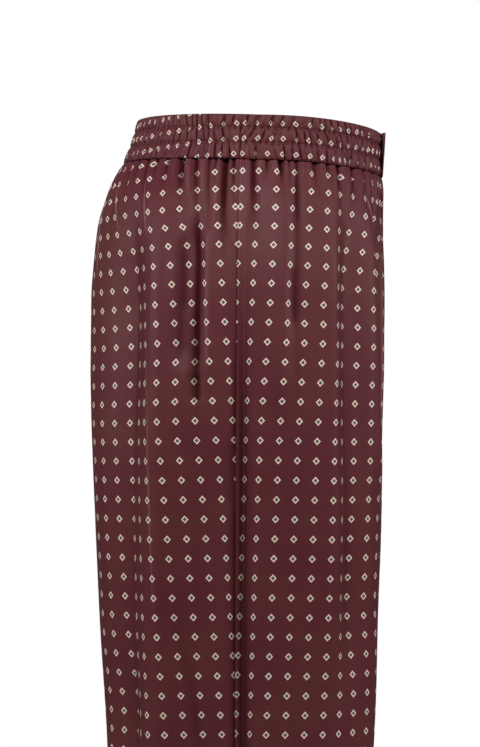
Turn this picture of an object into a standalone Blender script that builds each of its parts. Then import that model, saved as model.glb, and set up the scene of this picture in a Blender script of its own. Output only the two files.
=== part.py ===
"""Pyjama pants in satin, filled out as if worn: cut panels, gathered waistband, fly.

Metres, +Z up. The front of the pants faces -Y and the right leg lies at -X. The
origin is the middle of the waist opening, halfway up the waistband at the sides.

Each half of the pants is a tube of rounded sections. Above the crotch the tube is
cut off by the plane X = 0, where the centre front and centre back seams lie; below
it the tube is whole and the inseam runs down its inner side. A front panel and a
back panel share each half and meet at the side seam.
"""
import math

import bmesh
import bpy
import numpy as np

# Cloth and seams
WALL = 0.0015  # thickness of the cloth walls
SEAM_GAP = 0.0003  # cut pieces stand this far apart
PLY_GAP = 0.0003  # one ply lies this far above another
CLOTH_COLOUR = (0.105, 0.026, 0.030, 1.0)
REVERSE_COLOUR = (0.045, 0.016, 0.018, 1.0)

# Waistband
BAND_HEIGHT = 0.041
BAND_TOP = 0.0206  # height of its top edge at the sides
BAND_BOTTOM = BAND_TOP - BAND_HEIGHT
BAND_WAVES = 19  # fine gathers in each quarter of the band
WAVE_POINTS = 4  # points along one gather
BAND_INNER_DEPTH = 0.0028  # the plain inside of the casing, below its highest gathers
BAND_THINNEST = 0.0012
BAND_SWELL = 0.40  # shares of a channel's fullness that are plain swelling,
GATHER_SWELL = 0.35  # that go into its gathers,
GATHER_RELIEF = 0.25  # and the gathers' relief along a line of stitching
GATHER_LEAST_SIZE = 0.62
GATHER_SIZE_STEP = 1.9  # phase from one gather's size to the next one's
BUNCHES, BUNCH = 3.1, 0.35  # gathers crowd this often along a quarter, by this much
SLANTS, SLANT = 9.0, 0.18  # and lean to and fro down the band
BAND_SEEDS = {"front": 0.3, "back": 1.7, "left": 0.8}
BAND_TILT = 0.074  # the waist stands higher at the back by this slope
TILT_ENDS = -0.20  # below this height the rows are level

# Depth of the casing's profile: share of the height from the top edge, fullness
BAND_ROWS = (
    ("top edge", 0.00, 0.55),
    ("first channel", 0.14, 1.00),
    ("first stitching", 0.29, 0.35),
    ("second channel", 0.45, 1.00),
    ("second stitching", 0.62, 0.35),
    ("third channel", 0.81, 1.00),
    ("lower seam", 1.00, 0.15),
)

# Overlap at the centre front, left over right
LAP_WIDTH = 0.038
LAP_PLY = 0.0012
LAP_FLARE_TOP = 0.0050  # how far the free end stands off at its upper corner
LAP_FLARE_BOTTOM = 0.0016
LAP_COLUMNS = 8
LAP_RIPPLES, LAP_RIPPLE = 4, 0.0006
FLY_LAST_ROW = -0.200  # the fly's lower end lies between this row of the panel
FLY_END_ROW = -0.235  # and this one,
FLY_ROUNDING = (0.10, 0.55, 0.82, 0.95, 1.00)  # this share of the way, edge to centre

# Gathers that run from the waistband into the leg panels
GATHERS = 12  # in each panel
EDGE_GATHERS = 2  # of them in the strip, as wide as the lap, by the centre seam
GATHER_DEPTH = 0.0045
GATHER_SHORTEST = 0.050
GATHER_LONGEST = 0.115
GATHER_LEAST = 0.55  # depth of the shortest gathers, as a share
GATHER_SHARPNESS = 0.8  # below 1 the lobes are full and the furrows sharp
GATHER_STEP = 2.4  # phase from one gather's length to the next one's
GATHER_WANDER = ((2, 0.30), (5, 0.12))  # waves along a panel, and their size
GATHER_SEEDS = {"front": 0.6, "back": 2.0, "left": 1.3}

CROTCH = -0.285
HEM = -1.029

# Sections, from the waist down: height, back and front of the outline, outermost
# place, middle (how far the tube's deepest place is from X = 0), split (that
# distance as a share of the tube's reach on its inner side; 1 at the crotch) and
# squareness (2 is an ellipse).
SECTIONS = (
    # height, back,   front,   outer,  middle, split, squareness
    (0.0250, 0.1145, -0.1135, 0.1475, 0.0120, 0.03, 2.00),
    (0.0000, 0.1215, -0.1140, 0.1500, 0.0160, 0.04, 2.00),
    (-0.0200, 0.1290, -0.1140, 0.1530, 0.0210, 0.05, 2.00),
    (-0.0400, 0.1390, -0.1135, 0.1600, 0.0270, 0.06, 2.10),
    (-0.0600, 0.1460, -0.1130, 0.1670, 0.0320, 0.07, 2.20),
    (-0.0780, 0.1510, -0.1130, 0.1725, 0.0370, 0.08, 2.20),
    (-0.1080, 0.1545, -0.1140, 0.1795, 0.0440, 0.10, 2.25),
    (-0.1450, 0.1570, -0.1145, 0.1850, 0.0530, 0.14, 2.25),
    (-0.2000, 0.1570, -0.1140, 0.1890, 0.0670, 0.31, 2.25),
    (-0.2400, 0.1560, -0.1125, 0.1905, 0.0780, 0.54, 2.25),
    (-0.2650, 0.1550, -0.1115, 0.1907, 0.0855, 0.77, 2.25),
    (-0.2850, 0.1540, -0.1110, 0.1903, 0.0915, 1.01, 2.25),
    (-0.3100, 0.1530, -0.1105, 0.1893, 0.0970, 1.12, 2.25),
    (-0.3500, 0.1515, -0.1100, 0.1875, 0.1010, 1.20, 2.25),
    (-0.4500, 0.1480, -0.1055, 0.1830, 0.1035, 1.31, 2.20),
    (-0.6000, 0.1395, -0.0980, 0.1775, 0.1055, 1.47, 2.20),
    (-0.8000, 0.1285, -0.0880, 0.1730, 0.1080, 1.67, 2.20),
    (-1.0290, 0.1170, -0.0780, 0.1690, 0.1120, 1.96, 2.10),
)

# Where the side seam runs, seen from the side
SIDE_SEAM = (
    # height, y
    (0.0210, 0.0170),
    (0.0000, 0.0188),
    (-0.0204, 0.0202),
    (-0.0700, 0.0212),
    (-0.2000, 0.0225),
    (-0.5500, 0.0235),
    (-1.0290, 0.0225),
)

# Heights of the rows of points down a leg panel. The rows of the upper list have
# twice as many columns, for the gathers.
GATHERED_ROWS = (BAND_BOTTOM - SEAM_GAP, -0.033, -0.050, -0.070, -0.095)
PLAIN_ROWS = (
    -0.125, -0.160, -0.200, -0.235, -0.260, -0.276, CROTCH - 0.0015, -0.310,
    -0.350, -0.410, -0.490, -0.580, -0.680, -0.790, -0.910, HEM,
)
COLUMNS = 24

# Columns of points that follow a fold line: panel, column, distance from the side
# seam under the gathers, at the crotch and at the hem. A negative distance is
# measured from the panel's other edge, where the last column is, and the rest are
# spaced evenly between these.
EDGE_COLUMN = 20
GUIDES = (
    # panel, column, under gathers, crotch, hem
    ("front", 0, 0.000, 0.000, 0.000),
    ("front", 1, 0.008, 0.008, 0.007),
    ("front", 2, 0.020, 0.020, 0.018),
    ("front", 3, 0.044, 0.042, 0.036),
    ("front", 4, 0.056, 0.054, 0.046),
    ("front", 6, 0.092, 0.090, 0.074),
    ("front", 7, 0.103, 0.101, 0.082),
    ("front", 8, 0.114, 0.112, 0.090),
    ("front", 10, 0.146, 0.150, 0.118),
    ("front", 11, 0.157, 0.162, 0.128),
    ("front", 12, 0.168, 0.174, 0.139),
    ("front", EDGE_COLUMN, -LAP_WIDTH, -LAP_WIDTH, -0.030),
    ("back", 0, 0.000, 0.000, 0.000),
    ("back", 1, 0.008, 0.008, 0.007),
    ("back", 2, 0.017, 0.017, 0.015),
    ("back", 3, 0.026, 0.026, 0.024),
    ("back", 4, 0.036, 0.036, 0.034),
    ("back", 5, 0.050, 0.050, 0.046),
    ("back", 7, 0.078, 0.084, 0.072),
    ("back", 8, 0.090, 0.096, 0.081),
    ("back", 9, 0.102, 0.108, 0.090),
    ("back", 10, 0.118, 0.124, 0.101),
    ("back", 12, 0.158, 0.166, 0.134),
    ("back", EDGE_COLUMN, -LAP_WIDTH, -LAP_WIDTH, -0.030),
)

# Folds that hang down the panels. Distances are from the side seam; a fold falls
# off over `near` towards the seam and over `far` away from it. A negative rise is
# a trough.
FOLDS = (
    # name, panel, at top, at bottom, top, bottom, near, far, rise
    ("seam trough", "front", 0.000, 0.000, -0.045, -1.000, 0.022, 0.022, -0.0050),
    ("seam trough", "back", 0.000, 0.000, -0.045, -1.000, 0.015, 0.015, -0.0050),
    ("side pleat", "front", 0.044, 0.042, -0.022, -0.260, 0.020, 0.012, 0.0025),
    ("side furrow", "front", 0.056, 0.053, -0.022, -0.260, 0.012, 0.022, -0.0050),
    ("front fold", "front", 0.092, 0.090, -0.022, -0.520, 0.034, 0.014, 0.0045),
    ("front flank", "front", 0.114, 0.112, -0.026, -0.520, 0.016, 0.026, -0.0075),
    ("low front fold", "front", 0.090, 0.074, -0.260, -1.020, 0.036, 0.020, 0.0030),
    ("low front flank", "front", 0.114, 0.092, -0.280, -0.960, 0.020, 0.032, -0.0030),
    ("front crease", "front", 0.140, 0.152, -0.026, -0.345, 0.022, 0.013, 0.0060),
    ("front hollow", "front", 0.164, 0.172, -0.040, -0.300, 0.014, 0.016, -0.0065),
    ("shin fold", "front", 0.150, 0.118, -0.380, -1.020, 0.030, 0.030, 0.0040),
    ("inner front hollow", "front", 0.220, 0.160, -0.300, -0.950, 0.034, 0.034, -0.0040),
    ("inner front fold", "front", 0.268, 0.194, -0.305, -1.020, 0.038, 0.036, 0.0050),
    ("tuck ridge", "back", 0.027, 0.026, -0.060, -0.235, 0.014, 0.010, 0.0035),
    ("tuck furrow", "back", 0.036, 0.037, -0.060, -0.225, 0.010, 0.018, -0.0055),
    ("hip furrow", "back", 0.051, 0.050, -0.085, -0.215, 0.011, 0.013, -0.0040),
    ("back ridge", "back", 0.078, 0.072, -0.022, -1.020, 0.032, 0.022, 0.0060),
    ("back flank", "back", 0.104, 0.108, -0.030, -0.420, 0.018, 0.032, -0.0090),
    ("low back flank", "back", 0.124, 0.096, -0.300, -0.960, 0.026, 0.034, -0.0035),
    ("hip fold", "back", 0.146, 0.142, -0.040, -0.700, 0.026, 0.024, 0.0035),
    ("seat hollow", "back", 0.228, 0.205, -0.045, -0.300, 0.022, 0.020, -0.0040),
    ("calf hollow", "back", 0.222, 0.168, -0.320, -0.980, 0.034, 0.034, -0.0045),
    ("inner back fold", "back", 0.272, 0.204, -0.305, -1.020, 0.040, 0.036, 0.0050),
    ("knee drag", "back", 0.060, 0.014, -0.400, -0.620, 0.024, 0.020, -0.0030),
)
FOLD_END = 0.22  # share of a fold's length over which it fades at each end
CREST_ROUNDING = 0.10  # roundness of a fold's top, as a share of its half width
CREST_HOLLOW = 1.25  # above 1 a fold's sides are hollow
LEFT_SHIFT = 0.006  # the left leg's folds lie this much further round
LEFT_RISE = 0.88  # and are this much as high

OUTLINE_STEPS = 360  # steps along one panel's outline when it is measured
SHARP_ANGLE = math.radians(50)


def curve_through(heights, values, z):
    """Smooth curve without overshoot through values given at rising heights."""
    steps = np.diff(heights)
    rates = np.diff(values) / steps
    slopes = np.concatenate(([rates[0]], np.zeros(len(rates) - 1), [rates[-1]]))
    for k in range(1, len(rates)):
        if rates[k - 1] * rates[k] > 0:
            slopes[k] = 2 * rates[k - 1] * rates[k] / (rates[k - 1] + rates[k])
    z = min(max(z, heights[0]), heights[-1])
    k = min(int(np.searchsorted(heights, z, side="right")) - 1, len(steps) - 1)
    t = (z - heights[k]) / steps[k]
    return (
        (2 * t**3 - 3 * t**2 + 1) * values[k]
        + (t**3 - 2 * t**2 + t) * steps[k] * slopes[k]
        + (3 * t**2 - 2 * t**3) * values[k + 1]
        + (t**3 - t**2) * steps[k] * slopes[k + 1]
    )


def read_table(table, z):
    """Values of a table of heights, from the top down, at the height z."""
    columns = np.array(table[::-1]).T
    return [curve_through(columns[0], column, z) for column in columns[1:]]


def ease(t):
    """Smooth step from 0 to 1."""
    t = np.clip(t, 0.0, 1.0)
    return t * t * (3 - 2 * t)


def panel_outline(panel, z):
    """Outline of a right-hand panel at one height, from side seam to its other edge.

    Gives x, y, outward normal and distance from the side seam, as columns.
    """
    back, front, outer, middle, split, squareness = read_table(SECTIONS, z)
    (seam_y,) = read_table(SIDE_SEAM, z)
    middle_y = (back + front) / 2
    depth = (back - front) / 2
    bend = 2 / squareness
    offset = (middle_y - seam_y) / depth
    seam_angle = math.copysign(math.asin(abs(offset) ** (1 / bend)), offset)
    edge_angle = math.pi - math.acos(min(split, 1.0) ** (1 / bend))
    if panel == "back":
        edge_angle = -edge_angle
    angle = np.linspace(seam_angle, edge_angle, OUTLINE_STEPS)
    outwards, forwards = np.cos(angle), np.sin(angle)
    reach = np.where(outwards > 0, outer - middle, middle / split)
    x = -middle - reach * np.sign(outwards) * np.abs(outwards) ** bend
    y = middle_y - depth * np.sign(forwards) * np.abs(forwards) ** bend
    along_x, along_y = np.gradient(x), np.gradient(y)
    length = np.hypot(along_x, along_y)
    turn = 1 if panel == "front" else -1
    distance = np.concatenate(([0.0], np.cumsum(np.hypot(np.diff(x), np.diff(y)))))
    return x, y, turn * along_y / length, -turn * along_x / length, distance


def tilt(y, z):
    """Height of a point after the waist's slope from front to back."""
    share = ease((z - TILT_ENDS) / (BAND_BOTTOM - TILT_ENDS))
    return z + BAND_TILT * y * share


def fold_height(panel, distance, z, shift, scale):
    """How far the folds move the cloth out, at distances from the side seam."""
    total = np.zeros_like(distance)
    for _, on_panel, at_top, at_bottom, top, bottom, near, far, rise in FOLDS:
        if on_panel != panel:
            continue
        share = (z - top) / (bottom - top)
        if not 0 < share < 1:
            continue
        middle = at_top + (at_bottom - at_top) * share
        if middle > 0:
            middle += shift
        away = distance - middle
        u = np.abs(away) / np.where(away < 0, near, far)
        crest = np.clip(1 + CREST_ROUNDING - np.hypot(u, CREST_ROUNDING), 0.0, 1.0)
        ends = ease(share / FOLD_END) * ease((1 - share) / FOLD_END)
        total += rise * scale * ends * crest**CREST_HOLLOW
    return total


def gather_phase(share, width):
    """Gathers passed on the way from the side seam, unevenly spaced."""
    edge = 1 - LAP_WIDTH / width
    main = np.clip(share / edge, 0, 1)
    wander = sum(
        size * np.sin(2 * math.pi * waves * main) for waves, size in GATHER_WANDER
    )
    rest = np.clip((share - edge) / (1 - edge), 0, 1)
    return (GATHERS - EDGE_GATHERS) * main + wander + EDGE_GATHERS * rest


def gather_depth(share, width, z, seed):
    """How far the gathers under the band are drawn in, at shares of the width."""
    phase = gather_phase(share, width)
    gather = np.minimum(np.floor(phase), GATHERS - 1)
    vary = 0.5 + 0.5 * np.sin(GATHER_STEP * gather + seed)
    reach = GATHER_SHORTEST + (GATHER_LONGEST - GATHER_SHORTEST) * vary
    fade = 1 - ease((BAND_BOTTOM - z) / reach)
    furrow = 1 - np.abs(np.sin(math.pi * phase)) ** GATHER_SHARPNESS
    size = GATHER_LEAST + (1 - GATHER_LEAST) * vary
    return GATHER_DEPTH * size * fade * furrow


def column_shares(panel, z, width, doubled):
    """Places of the columns at one height, as shares of the panel's width."""
    rows = [row[1:] for row in GUIDES if row[0] == panel]
    numbers = [row[0] for row in rows] + [COLUMNS]
    places = []
    for _, under_gathers, crotch, hem in rows:
        stations = (HEM, CROTCH, GATHERED_ROWS[-1])
        place = np.interp(z, stations, (hem, crotch, under_gathers))
        places.append((place if place >= 0 else width + place) / width)
    count = 2 * COLUMNS if doubled else COLUMNS
    column = np.linspace(0, COLUMNS, count + 1)
    guided = np.interp(column, numbers, places + [1.0])
    steps = np.linspace(0, 1, OUTLINE_STEPS)
    wanted = np.interp(
        column, (0, EDGE_COLUMN, COLUMNS), (0, GATHERS - EDGE_GATHERS, GATHERS)
    )
    gathered = np.interp(wanted, gather_phase(steps, width), steps)
    settle = ease((GATHERED_ROWS[0] - z) / (GATHERED_ROWS[0] - GATHERED_ROWS[-1]))
    return gathered + (guided - gathered) * settle


def panel_rows(panel, left):
    """Rows of outer and inner points of a leg panel, for the right-hand side."""
    shift, scale = (LEFT_SHIFT, LEFT_RISE) if left else (0.0, 1.0)
    seed = GATHER_SEEDS[panel] + (GATHER_SEEDS["left"] if left else 0.0)
    outer_rows, inner_rows = [], []
    for z in GATHERED_ROWS + PLAIN_ROWS:
        x, y, normal_x, normal_y, distance = panel_outline(panel, z)
        width = distance[-1]
        shares = column_shares(panel, z, width, z in GATHERED_ROWS)
        places = SEAM_GAP / 2 + shares * (width - SEAM_GAP)
        out = fold_height(panel, places, z, shift, scale)
        out = out - gather_depth(shares, width, z, seed)
        at = [np.interp(places, distance, v) for v in (x, y, normal_x, normal_y)]
        for rows, lift in ((outer_rows, out), (inner_rows, out - WALL)):
            px = np.minimum(at[0] + lift * at[2], -SEAM_GAP / 2)
            py = at[1] + lift * at[3]
            rows.append(np.stack((px, py, tilt(py, z)), axis=1))
    return outer_rows, inner_rows


def band_fullness(phase, seed):
    """Height of the band's fine gathers, 0 to 1, at a number of gathers passed."""
    gather = np.round(phase)
    vary = np.sin(GATHER_SIZE_STEP * gather + seed) ** 2
    size = GATHER_LEAST_SIZE + (1 - GATHER_LEAST_SIZE) * vary
    size = np.where((gather == 0) | (gather == BAND_WAVES), 1.0, size)
    return size * (0.5 + 0.5 * np.cos(2 * math.pi * phase))


def band_rows(panel, left):
    """Rows of outer points, and two rows of plain inner points, of a band quarter."""
    seed = BAND_SEEDS[panel] + (BAND_SEEDS["left"] if left else 0.0)
    phase = np.linspace(0, BAND_WAVES, BAND_WAVES * WAVE_POINTS + 1)
    along = math.pi * phase / BAND_WAVES
    bunch = BUNCH * np.sin(2 * BUNCHES * along) * np.sin(along)
    shares = (phase + bunch) / BAND_WAVES
    outer_rows, inner_rows = [], []
    for _, down, fullness in BAND_ROWS:
        z = BAND_TOP - down * BAND_HEIGHT
        x, y, normal_x, normal_y, distance = panel_outline(panel, z)
        places = SEAM_GAP / 2 + shares * (distance[-1] - SEAM_GAP)
        at = [np.interp(places, distance, v) for v in (x, y, normal_x, normal_y)]
        slant = SLANT * math.sin(SLANTS * down) * np.sin(phase)
        wave = band_fullness(phase + slant, seed)
        relief = GATHER_RELIEF + GATHER_SWELL * fullness
        lift = BAND_THINNEST - BAND_INNER_DEPTH
        lift = lift * (1 - BAND_SWELL * fullness - relief * wave)
        plain = np.full_like(lift, -BAND_INNER_DEPTH)
        for rows, height in ((outer_rows, lift), (inner_rows, plain)):
            px = np.minimum(at[0] + height * at[2], -SEAM_GAP / 2)
            py = at[1] + height * at[3]
            rows.append(np.stack((px, py, tilt(py, z)), axis=1))
    return outer_rows, [inner_rows[0], inner_rows[-1]]


def lap_band_rows():
    """Rows of the band's free end, which laps over the right side and flares."""
    outer_rows, inner_rows = [], []
    reach = np.linspace(0, 1, LAP_COLUMNS + 1)
    for _, down, fullness in BAND_ROWS:
        z = BAND_TOP - down * BAND_HEIGHT
        x, y, normal_x, normal_y, distance = panel_outline("front", z)
        places = distance[-1] - SEAM_GAP / 2 - reach * LAP_WIDTH
        at = [np.interp(places, distance, v) for v in (x, y, normal_x, normal_y)]
        flare = (LAP_FLARE_TOP + (LAP_FLARE_BOTTOM - LAP_FLARE_TOP) * down) * reach**2
        ripple = 0.5 + 0.5 * np.cos(2 * math.pi * LAP_RIPPLES * reach)
        ripple = LAP_RIPPLE * fullness * ripple
        for rows, lift in (
            (outer_rows, PLY_GAP + LAP_PLY + flare + ripple),
            (inner_rows, PLY_GAP + flare),
        ):
            px = np.minimum(at[0] + lift * at[2], -SEAM_GAP / 2)
            py = at[1] + lift * at[3]
            rows.append(np.stack((px, py, tilt(py, z)), axis=1))
    return outer_rows, inner_rows


def fly_rows():
    """Rows of the fly, laid on the right front panel from its own points."""
    panel_outer, _ = panel_rows("front", left=False)
    levels = GATHERED_ROWS + PLAIN_ROWS
    last = levels.index(FLY_LAST_ROW)
    end = levels.index(FLY_END_ROW)
    plies = []
    for z, row in zip(levels[: last + 1], panel_outer):
        first = EDGE_COLUMN * (len(row) - 1) // COLUMNS
        plies.append(row[first:])
    rounding = np.array(FLY_ROUNDING)[:, None]
    upper, lower = panel_outer[last][EDGE_COLUMN:], panel_outer[end][EDGE_COLUMN:]
    plies.append(upper + (lower - upper) * rounding)
    outer_rows, inner_rows = [], []
    for ply in plies:
        along = np.gradient(ply[:, :2], axis=0)
        along /= np.linalg.norm(along, axis=1)[:, None]
        outward = np.stack((along[:, 1], -along[:, 0], np.zeros(len(ply))), axis=1)
        for rows, lift in ((outer_rows, PLY_GAP + LAP_PLY), (inner_rows, PLY_GAP)):
            points = ply + lift * outward
            points[:, 0] = np.minimum(points[:, 0], -SEAM_GAP / 2)
            rows.append(points)
    return outer_rows, inner_rows


def strip_faces(upper, lower):
    """Faces between two rows of vertex numbers; the upper may have twice as many."""
    faces = []
    if len(upper) == len(lower):
        for k in range(len(upper) - 1):
            faces.append((upper[k], upper[k + 1], lower[k + 1], lower[k]))
        return faces
    for k in range(len(lower) - 1):
        first, middle, last = upper[2 * k : 2 * k + 3]
        faces.append((first, middle, lower[k]))
        faces.append((middle, lower[k + 1], lower[k]))
        faces.append((middle, last, lower[k + 1]))
    return faces


def fan_faces(outer_edge, inner_edge):
    """Faces that close a wall's side edge; the inner edge may have fewer points."""
    if len(outer_edge) == len(inner_edge):
        return strip_faces(outer_edge, inner_edge)
    half = len(outer_edge) // 2
    top, bottom = inner_edge
    faces = [(outer_edge[k], outer_edge[k + 1], top) for k in range(half)]
    faces.append((outer_edge[half], bottom, top))
    for k in range(half, len(outer_edge) - 1):
        faces.append((outer_edge[k], outer_edge[k + 1], bottom))
    return faces


def make_wall(name, rows, material, mirrored, parent):
    """One closed cloth wall from its rows of outer and inner points."""
    points, numbers = [], []
    for surface in rows:
        surface_numbers = []
        for row in surface:
            start = len(points)
            points.extend(row)
            surface_numbers.append(list(range(start, start + len(row))))
        numbers.append(surface_numbers)
    outer, inner = numbers
    faces = []
    for surface in (outer, inner):
        for upper, lower in zip(surface, surface[1:]):
            faces += strip_faces(upper, lower)
    faces += strip_faces(outer[0], inner[0])
    faces += strip_faces(outer[-1], inner[-1])
    for side in (0, -1):
        faces += fan_faces([row[side] for row in outer], [row[side] for row in inner])
    points = np.array(points)
    if mirrored:
        points[:, 0] = -points[:, 0]
    mesh = bpy.data.meshes.new(name)
    mesh.from_pydata([tuple(p) for p in points.tolist()], [], faces)
    mesh.materials.append(material)
    face_outwards(mesh)
    mesh.shade_smooth()
    mesh.set_sharp_from_angle(angle=SHARP_ANGLE)
    wall = bpy.data.objects.new(name, mesh)
    bpy.context.scene.collection.objects.link(wall)
    wall.parent = parent
    return wall


def face_outwards(mesh):
    """Turn the faces of a closed mesh to point out of it."""
    work = bmesh.new()
    work.from_mesh(mesh)
    bmesh.ops.recalc_face_normals(work, faces=work.faces)
    work.to_mesh(mesh)
    work.free()


def make_satin(name, colour, roughness):
    """Satin: a Principled finish in the cloth's colour."""
    material = bpy.data.materials.new(name)
    material.use_nodes = True
    shader = material.node_tree.nodes["Principled BSDF"]
    shader.inputs["Base Color"].default_value = colour
    shader.inputs["Roughness"].default_value = roughness
    shader.inputs["Metallic"].default_value = 0.0
    return material


def build():
    """Make every piece of the pants."""
    for old in list(bpy.data.objects):
        bpy.data.objects.remove(old)
    satin = make_satin("satin", CLOTH_COLOUR, 0.45)
    band_satin = make_satin("band satin", CLOTH_COLOUR, 0.50)
    reverse = make_satin("lap satin", REVERSE_COLOUR, 0.60)
    waist = bpy.data.objects.new("waist", None)
    bpy.context.scene.collection.objects.link(waist)
    for side in ("right", "left"):
        left = side == "left"
        for panel in ("front", "back"):
            rows = panel_rows(panel, left)
            make_wall(f"leg_{panel}_{side}", rows, satin, left, waist)
            rows = band_rows(panel, left)
            make_wall(f"waistband_{panel}_{side}", rows, band_satin, left, waist)
    make_wall("waistband_overlap", lap_band_rows(), reverse, False, waist)
    make_wall("fly_overlap", fly_rows(), satin, False, waist)


build()
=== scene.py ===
"""Satin pyjama pants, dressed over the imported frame.

Metres, +Z up. The front of the pants faces -Y and the right leg lies at -X. Every
cloth piece is a fine sheet on the same rounded form as the solids, with the folds,
gathers, seams and stitching that the solids leave out, and carries a UV map named
"cut" that lays it flat in metres, so that the print follows the cloth.
"""

import logging
import math
from dataclasses import dataclass, replace
from enum import Enum
from typing import Sequence

import bpy
import numpy as np
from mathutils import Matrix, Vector


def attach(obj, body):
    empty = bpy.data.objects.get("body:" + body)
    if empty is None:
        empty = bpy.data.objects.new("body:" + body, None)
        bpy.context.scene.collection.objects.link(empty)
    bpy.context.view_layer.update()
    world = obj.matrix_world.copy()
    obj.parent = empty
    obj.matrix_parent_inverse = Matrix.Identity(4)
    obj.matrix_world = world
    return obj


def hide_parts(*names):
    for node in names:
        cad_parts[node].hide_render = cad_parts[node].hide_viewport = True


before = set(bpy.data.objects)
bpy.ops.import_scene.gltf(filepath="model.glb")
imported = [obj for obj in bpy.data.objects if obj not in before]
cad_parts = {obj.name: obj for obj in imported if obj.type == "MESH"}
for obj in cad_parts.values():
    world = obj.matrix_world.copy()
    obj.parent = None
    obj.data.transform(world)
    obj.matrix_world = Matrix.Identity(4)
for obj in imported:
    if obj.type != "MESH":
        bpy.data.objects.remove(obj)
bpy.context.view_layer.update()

log = logging.getLogger("pants")

CUT = "cut"  # the UV map that lays a piece flat, in metres
PAINTED_SHADING = "painted_shading"  # how deep a place lies in a crease, for the painted shade there: 1 in the deepest, below 0 on crests, which get a painted highlight
CENTRE = 0.00001  # the right and left halves stop this far from the middle plane
MIRROR = np.array((-1.0, 1.0, 1.0))

Array = np.ndarray
Piece = bpy.types.Object
Socket = bpy.types.NodeSocket
Line = tuple[Array, Array]  # a line's points and its outward directions


class Panel(Enum):
    """Front or back of a half of the pants."""

    FRONT = "front"
    BACK = "back"


class Side(Enum):
    """Side of the wearer."""

    RIGHT = "right"
    LEFT = "left"


def ease(t: Array | float) -> Array | float:
    """Smooth step from 0 to 1."""
    t = np.clip(t, 0.0, 1.0)
    return t * t * (3 - 2 * t)


def curve_through(heights: Array, values: Array, z: float) -> float:
    """Read a smooth curve without overshoot.

    Args:
        heights: Rising heights where the values are known.
        values: The values there.
        z: Height to read at.

    Returns:
        The value at that height.
    """
    steps = np.diff(heights)
    rates = np.diff(values) / steps
    slopes = np.concatenate(([rates[0]], np.zeros(len(rates) - 1), [rates[-1]]))
    for k in range(1, len(rates)):
        if rates[k - 1] * rates[k] > 0:
            slopes[k] = 2 * rates[k - 1] * rates[k] / (rates[k - 1] + rates[k])
    z = min(max(z, heights[0]), heights[-1])
    k = min(int(np.searchsorted(heights, z, side="right")) - 1, len(steps) - 1)
    t = (z - heights[k]) / steps[k]
    return float(
        (2 * t**3 - 3 * t**2 + 1) * values[k]
        + (t**3 - 2 * t**2 + t) * steps[k] * slopes[k]
        + (3 * t**2 - 2 * t**3) * values[k + 1]
        + (t**3 - t**2) * steps[k] * slopes[k + 1]
    )


# Sections of one half, from the waist down: height, back and front of the outline,
# outermost place, middle, split and squareness.
SECTIONS = (
    # height, back,   front,   outer,  middle, split, squareness
    (0.0250, 0.1145, -0.1135, 0.1475, 0.0120, 0.03, 2.00),
    (0.0000, 0.1215, -0.1140, 0.1500, 0.0160, 0.04, 2.00),
    (-0.0200, 0.1290, -0.1140, 0.1530, 0.0210, 0.05, 2.00),
    (-0.0400, 0.1390, -0.1135, 0.1600, 0.0270, 0.06, 2.10),
    (-0.0600, 0.1460, -0.1130, 0.1670, 0.0320, 0.07, 2.20),
    (-0.0780, 0.1510, -0.1130, 0.1725, 0.0370, 0.08, 2.20),
    (-0.1080, 0.1545, -0.1140, 0.1795, 0.0440, 0.10, 2.25),
    (-0.1450, 0.1570, -0.1145, 0.1850, 0.0530, 0.14, 2.25),
    (-0.2000, 0.1570, -0.1140, 0.1890, 0.0670, 0.31, 2.25),
    (-0.2400, 0.1560, -0.1125, 0.1905, 0.0780, 0.54, 2.25),
    (-0.2650, 0.1550, -0.1115, 0.1907, 0.0855, 0.77, 2.25),
    (-0.2850, 0.1540, -0.1110, 0.1903, 0.0915, 1.01, 2.25),
    (-0.3100, 0.1530, -0.1105, 0.1893, 0.0970, 1.12, 2.25),
    (-0.3500, 0.1515, -0.1100, 0.1875, 0.1010, 1.20, 2.25),
    (-0.4500, 0.1480, -0.1055, 0.1830, 0.1035, 1.31, 2.20),
    (-0.6000, 0.1395, -0.0980, 0.1775, 0.1055, 1.47, 2.20),
    (-0.8000, 0.1285, -0.0880, 0.1730, 0.1080, 1.67, 2.20),
    (-1.0290, 0.1170, -0.0780, 0.1690, 0.1120, 1.96, 2.10),
)

SIDE_SEAM = (
    # height, y
    (0.0210, 0.0170),
    (0.0000, 0.0188),
    (-0.0204, 0.0202),
    (-0.0700, 0.0212),
    (-0.2000, 0.0225),
    (-0.5500, 0.0235),
    (-1.0290, 0.0225),
)


@dataclass(frozen=True)
class Outline:
    """One panel's outline at one height, from the side seam to its other edge."""

    x: Array
    y: Array
    out_x: Array
    out_y: Array
    distance: Array
    crown: float  # distance of the place furthest to the front or back

    def at(self, places: Array) -> Array:
        """Values of x, y, out_x and out_y at some distances."""
        known = (self.x, self.y, self.out_x, self.out_y)
        return np.array([np.interp(places, self.distance, values) for values in known])


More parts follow.
